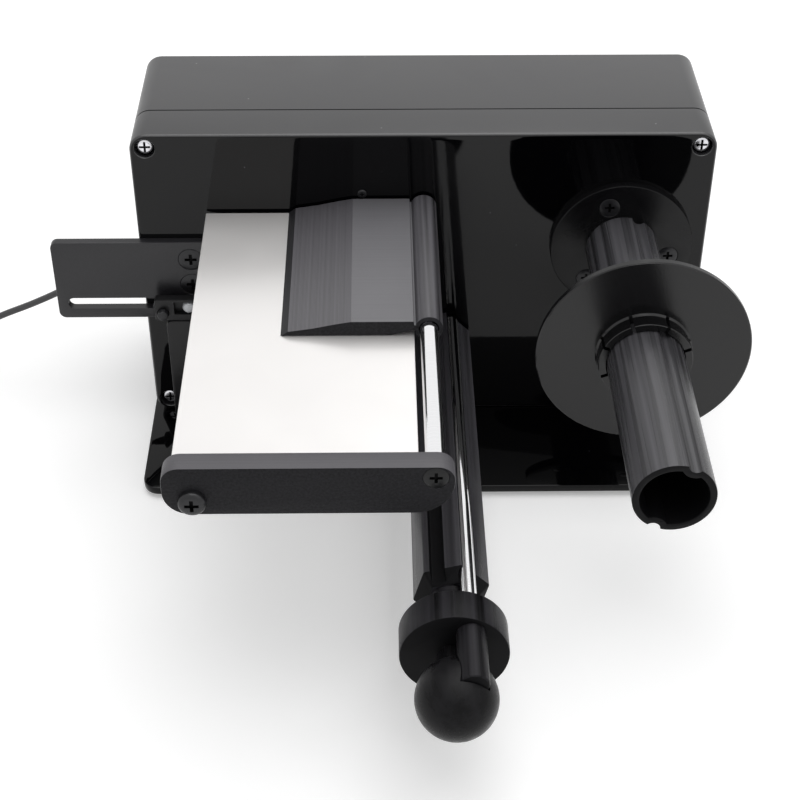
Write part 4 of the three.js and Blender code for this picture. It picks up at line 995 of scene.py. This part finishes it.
def makeSpool():
    low, high, axis = local("spool_holder")
    radius, thickness = (high.x - low.x) / 2, spool["flange"]
    sections = [(0, radius), *endRim(thickness, radius, spool["flangeEdge"])]
    holder = turned("spool_body", spot(axis, 0), toFront, sections, 128)
    tube = spoolBar(axis, spool["tube"], spool["flute"], low.y, -1)
    inner = spool["tube"] - spool["wall"]
    cut(tube, spoolBar(axis, inner, spool["flute"] + spool["wall"], low.y - 2, 0.1 - thickness))
    roundEdges(tube, spool["rim"], 3, lies("Y", low.y))
    combine(holder, tube, "UNION")
    for node in numbered("spool_screw", 3):
        drill(holder, spot(middleOf(node), -thickness), spool["screwWell"])
    # painted reflection bands along the tube
    dress(holder, "spool_holder", "tube_print_and_reflection", angle=30)
    paintFaces(holder, "flange_print", lambda normal, place: place.y > -thickness - 0.05)
    paintFaces(holder, "tube_inside", lambda normal, place: place.y < low.y + 0.5 and normal.y < -0.5 or
               place.y < -thickness and away(place, axis) < inner + 0.3)


def makeDisc():
    low, high, axis = local("supply_disc")
    radius, length = (high.x - low.x) / 2, high.y - low.y
    edge, thickness, bore = disc["edge"], disc["thickness"], disc["bore"]
    foot, rim = disc["foot"], disc["hubEdge"]
    hub = bore + disc["hubWall"]
    sections = [(0, radius - edge), (edge, radius), (thickness - edge, radius), (thickness, radius - edge),
                (thickness, hub + foot), (thickness + foot, hub), (length - rim, hub), (length, hub - rim)]
    plate = turned("roll_disc", spot(axis, high.y), toFront, sections, 160)
    front, back = disc["frontFlare"], disc["backFlare"]
    sections = [(-1, bore + front), (0, bore + front), (front, bore), (length - back, bore),
                (length, bore + back), (length + 1, bore + back)]
    cut(plate, turned("bore", spot(axis, low.y), toBack, sections, 128))
    wide = disc["slitWidth"] / 2
    for k in range(disc["slits"]):
        slit = block("slit", (bore - 1, low.y - 1, -wide), (hub + 1, high.y - thickness - 0.02, wide))
        cut(plate, swung(slit, axis, 360 * k / disc["slits"] + spool["fluteAngle"]))
    dress(plate, "supply_disc", "disc_print", body="disc", angle=30)


makeSpool()
makeDisc()
screwSet("spool", numbered("spool_screw", 3), "black_screw", sunk=True)
print("spool and disc modelled")

# Take-up spindle, six-sided, with the puller that slides off its end
spindle = {"radius": 12.1, "corner": 15, "chamfer": 4, "noseShare": 0.7, "edge": 0.5, "softEdge": 0.15,
           "frontBore": (5.3, 25, 0.3), "shaftBore": (3.2, 19), "channel": 2.75,
           "slitWidth": 4.7, "slitDepth": 4.2, "slitShift": -1.8, "slitAngle": 105}
puller = {"collar": 16.4, "collarEdge": 0.6, "collarLength": 11.2, "fromBall": 16.5, "shoulder": 7.2,
          "shoulderEdge": 0.8, "noseGap": 0.3, "stub": 5, "stubEdge": 0.6, "boss": 4.5,
          "bossEdge": (0.6, 0.2), "bossSpare": 5.2, "socket": (2.65, 60), "neck": (5.4, 14), "neckEdge": 0.5,
          "ball": 12.3, "flat": 0.93, "flatAngle": 232, "bossGap": 0.3, "bossGapLength": 36}


def makeSpindle():
    low, high = local("spindle")[:2]
    axis = middleOf("drive_shaft")
    radius, length, channel = spindle["radius"], high.y - low.y, spindle["channel"]
    sections = [(0, radius), (length - spindle["chamfer"], radius), (length, radius * spindle["noseShare"])]
    body = turned("spindle_body", spot(axis, high.y), toFront, sections, 6, corner=spindle["corner"])
    roundEdges(body, spindle["edge"], 3, lambda a, b: abs(a.y - b.y) > 1)
    wide, shift = spindle["slitWidth"] / 2, spindle["slitShift"]
    bottom = radius - spindle["slitDepth"]
    slit = block("slit", (bottom, low.y - 1, -shift - wide), (radius + 3, high.y + 1, -shift + wide))
    roundEdges(slit, 0.5, 2, lambda a, b: runs("Y")(a, b) and a.x < radius)
    cut(body, swung(slit, axis, spindle["slitAngle"]))
    cut(body, straight("channel", spot(middleOf("clip_rod"), low.y - 1), toBack, channel, length + 2, 48))
    drill(body, spot(axis, low.y), spindle["frontBore"])
    cut(body, straight("shaft_bore", spot(axis, high.y + 1), toFront, *spindle["shaftBore"], 32))
    soften(body, spindle["softEdge"], 50)
    # painted reflection bands along the spindle
    dress(body, "spindle", "spindle_print_and_reflection", body="takeup", angle=30)
    across, outward = outwardAt(spindle["slitAngle"] - 90), outwardAt(spindle["slitAngle"])
    # painted shade on the spindle's nose facets and in its slit
    paintFaces(body, "painted_shade_print", lambda normal, place: 0.25 < abs(normal.y) < 0.95)
    paintFaces(body, "painted_shade_print", lambda normal, place: abs(normal.y) < 0.5 and
               abs((place - axis).dot(across) - shift) < wide + 0.05 and
               bottom - 0.1 < (place - axis).dot(outward))


def makePuller():
    low, high = local("puller_collar")[:2]
    axis, clip = middleOf("drive_shaft"), middleOf("clip_rod")
    radius, length, edge = puller["collar"], puller["collarLength"], puller["collarEdge"]
    ballFront = local("ball_knob")[0].y
    ball = spot(axis, ballFront + puller["ball"])
    front = ballFront + puller["ball"] + puller["fromBall"]
    shoulder, soft, stub = puller["shoulder"], puller["shoulderEdge"], puller["stub"]
    seat, end = local("spindle")[0].y - puller["noseGap"] - front, high.y - front
    sections = [(0, radius - edge), (edge * 0.3, radius - edge * 0.3), (edge, radius),
                *endRim(length, radius, edge), (length, shoulder + soft), (length + soft, shoulder),
                (seat, shoulder), (seat, stub),
                (end - puller["stubEdge"], stub), (end, stub - puller["stubEdge"])]
    collar = turned("collar_body", spot(axis, front), toBack, sections, 128)
    boss, tip, (edge, soft) = puller["boss"], low.y - puller["bossSpare"], puller["bossEdge"]
    sections = [(0, boss - edge), (soft, boss - soft), (edge, boss), (front + length - tip - 1, boss)]
    combine(collar, turned("boss", spot(clip, tip), toBack, sections), "UNION")
    cut(collar, straight("socket", spot(clip, local("clip_rod")[0].y), toBack, *puller["socket"], 48))
    # painted reflection bands on the collar
    dress(collar, "puller_collar", "knob_print_and_reflection", body="puller", angle=30)
    # painted shade on the collar's front face
    paintFaces(collar, "painted_shade_print", lambda normal, place: normal.y < -0.9)
    bpy.ops.object.select_all(action="DESELECT")
    bpy.ops.mesh.primitive_uv_sphere_add(
        segments=72, ring_count=48, radius=puller["ball"] * mm, location=at(*ball))
    knob = settled("pull_knob")
    outward = outwardAt(puller["flatAngle"])
    flat = at(*(ball + outward * puller["ball"] * puller["flat"]))
    editAll()
    bpy.ops.mesh.bisect(plane_co=flat, plane_no=outward, use_fill=True, clear_outer=True)
    bpy.ops.object.mode_set(mode="OBJECT")
    neck = straight("neck", spot(axis, front), toFront, *puller["neck"], 6, corner=0)
    roundEdges(neck, puller["neckEdge"], 3, lambda a, b: abs(a.y - b.y) > 1)
    combine(knob, neck, "UNION")
    gap = puller["bossGap"]
    cut(knob, straight("relief", spot(clip, tip - gap), toBack, boss + gap, puller["bossGapLength"]))
    # painted reflection bands on the ball
    dress(knob, "ball_knob", "ball_print_and_reflection", body="puller", angle=30)


makeSpindle()
makePuller()
makeRod("clip_bar", "clip_rod", "puller")
print("spindle and puller modelled")

# Power inlet, plug and the supply at the cord's end
inlet = {"flange": 5.2, "flangeDepth": 1.2, "edge": 0.3, "body": 4, "bore": 2.8}
plug = {"radius": 4.6, "edge": (0.8, 0.3), "ribs": 6, "ribStart": 3, "ribPitch": 1.3, "ribDepth": 0.35,
        "frontEdge": 0.4, "barrel": 2.4, "barrelLength": 9}
relief = {"plug": 2.6, "supply": 2.8, "thin": 1.65, "pitch": 1.6, "groove": 0.3}
supply = {"corner": 4, "edge": 1.2, "partingWidth": 0.5, "partingDepth": 0.4, "pin": 2, "sleeve": 1.95,
          "pinTip": ((1.2, 1), (0.5, 0.85), (0, 0.4))}  # distances from the tip, and shares of the radius


def makeInlet():
    low, high, centre = local("power_inlet")
    start, length = (low.x, centre.y, centre.z), high.x - low.x
    radius, depth, edge, body = inlet["flange"], inlet["flangeDepth"], inlet["edge"], inlet["body"]
    sections = [(0, radius - edge), (edge, radius), (depth, radius), (depth, body), (length, body)]
    ring = turned("inlet_ring", start, toRight, sections, 48)
    drill(ring, start, (inlet["bore"], length - depth, edge), toRight)
    dress(ring, "power_inlet", "adapter_moulding")


def makePlug():
    low, centre = local("power_plug")[::2]
    length = local("power_inlet")[0].x - low.x
    radius, (edge, soft) = plug["radius"], plug["edge"]
    sections = [(0, radius - edge), (soft, radius - soft), (edge, radius)]
    for k in range(plug["ribs"]):
        place, valley = plug["ribStart"] + k * plug["ribPitch"], radius - plug["ribDepth"]
        sections += [(place, radius), (place + 0.2, valley), (place + 0.6, valley), (place + 0.8, radius)]
    edge, barrel, end = plug["frontEdge"], plug["barrel"], length + plug["barrelLength"]
    sections += [(length - edge, radius), (length, radius - edge), (length, barrel), (end - edge, barrel)]
    sections.append((end, barrel - edge))
    piece = turned("cord_plug", (low.x, centre.y, centre.z), toRight, sections)
    dress(piece, "power_plug", "black_vinyl", angle=30)


def makeRelief(name, node, direction, wide):  # rings that thin towards the cord
    low, high, centre = local(node)
    along = Vector(direction)
    length = abs((high - low).dot(along))
    start = centre - along * length / 2
    thin, groove = relief["thin"], relief["groove"]
    count = max(3, round(length / relief["pitch"]))
    sections = [(0, wide)]
    for k in range(count):
        a, b = (k + 0.55) / count, (k + 1) / count
        near, far = wide + (thin - wide) * a, wide + (thin - wide) * b
        sections += [(length * a, near), (length * a, near - groove), (length * b - 0.1, far - groove)]
        sections.append((length * b, far if k < count - 1 else thin))
    piece = turned(name, start, direction, sections, 48)
    dress(piece, node, "black_vinyl", angle=30)
    return piece


def makeSupply():
    low, high, centre = local("supply_body")
    body = block("supply_case", low, high)
    roundEdges(body, supply["corner"], 8, runs("Z"))
    roundEdges(body, supply["edge"], 4, lies("Z", low.z, high.z))
    middle, wide, deep = centre.z, supply["partingWidth"] / 2, supply["partingDepth"]
    outer = block("outer", (low.x - 2, low.y - 2, middle - wide), (high.x + 2, high.y + 2, middle + wide))
    inner = block("inner", (low.x + deep, low.y + deep, middle - 2),
                  (high.x - deep, high.y - deep, middle + 2))
    roundEdges(inner, supply["corner"] - deep, 8, runs("Z"))
    cut(outer, inner)
    cut(body, outer)
    dress(body, "supply_body", "adapter_moulding")
    return body


def makePin(name, node):
    low, high, centre = local(node)
    length, radius, sleeve = high.z - low.z, supply["pin"], supply["sleeve"]
    half = length * 0.5
    tip = [(length - short, radius * share) for short, share in supply["pinTip"]]
    sections = [(0, sleeve), (half, sleeve), (half, radius), *tip]
    pin = turned(name, (centre.x, centre.y, low.z), up, sections, 40)
    dress(pin, node, "bright_zinc")
    paintFaces(pin, "black_vinyl", lambda normal, place: place.z < low.z + half)
    return pin


makeInlet()
makePlug()
makeRelief("plug_tail", "plug_relief", toLeft, relief["plug"])
supplyPieces = [makeSupply(), *[makePin(f"{side}_pin", f"supply_pin_{side}") for side in ("left", "right")]]
supplyTail = makeRelief("supply_tail", "supply_relief", toBack, relief["supply"])
cordPiece.data.materials.append(looks["cord_vinyl"])
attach(cordPiece, "chassis")
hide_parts("cord_run", "cord_coil", "cord_tail")
print("plug, cord and supply modelled")

# Nodes of the frame that stay, each with its finish
kept = {"gearmotor": "motor_steel", "drive_shaft": "motor_steel", "control_board": "board_laminate"}
kept.update({node: "inner_print" for node in ("rear_rail", "spindle_bush", "motor_mount")})
blackScrews = ["rod_screw_guide", "rod_screw_spacer", *numbered("base_screw", 4)]
kept.update({node: "black_screw" for node in blackScrews})
for node, look in kept.items():
    mesh = bpy.data.objects[node].data
    mesh.materials.clear()
    mesh.materials.append(looks[look])
print("kept nodes dressed:", len(kept))
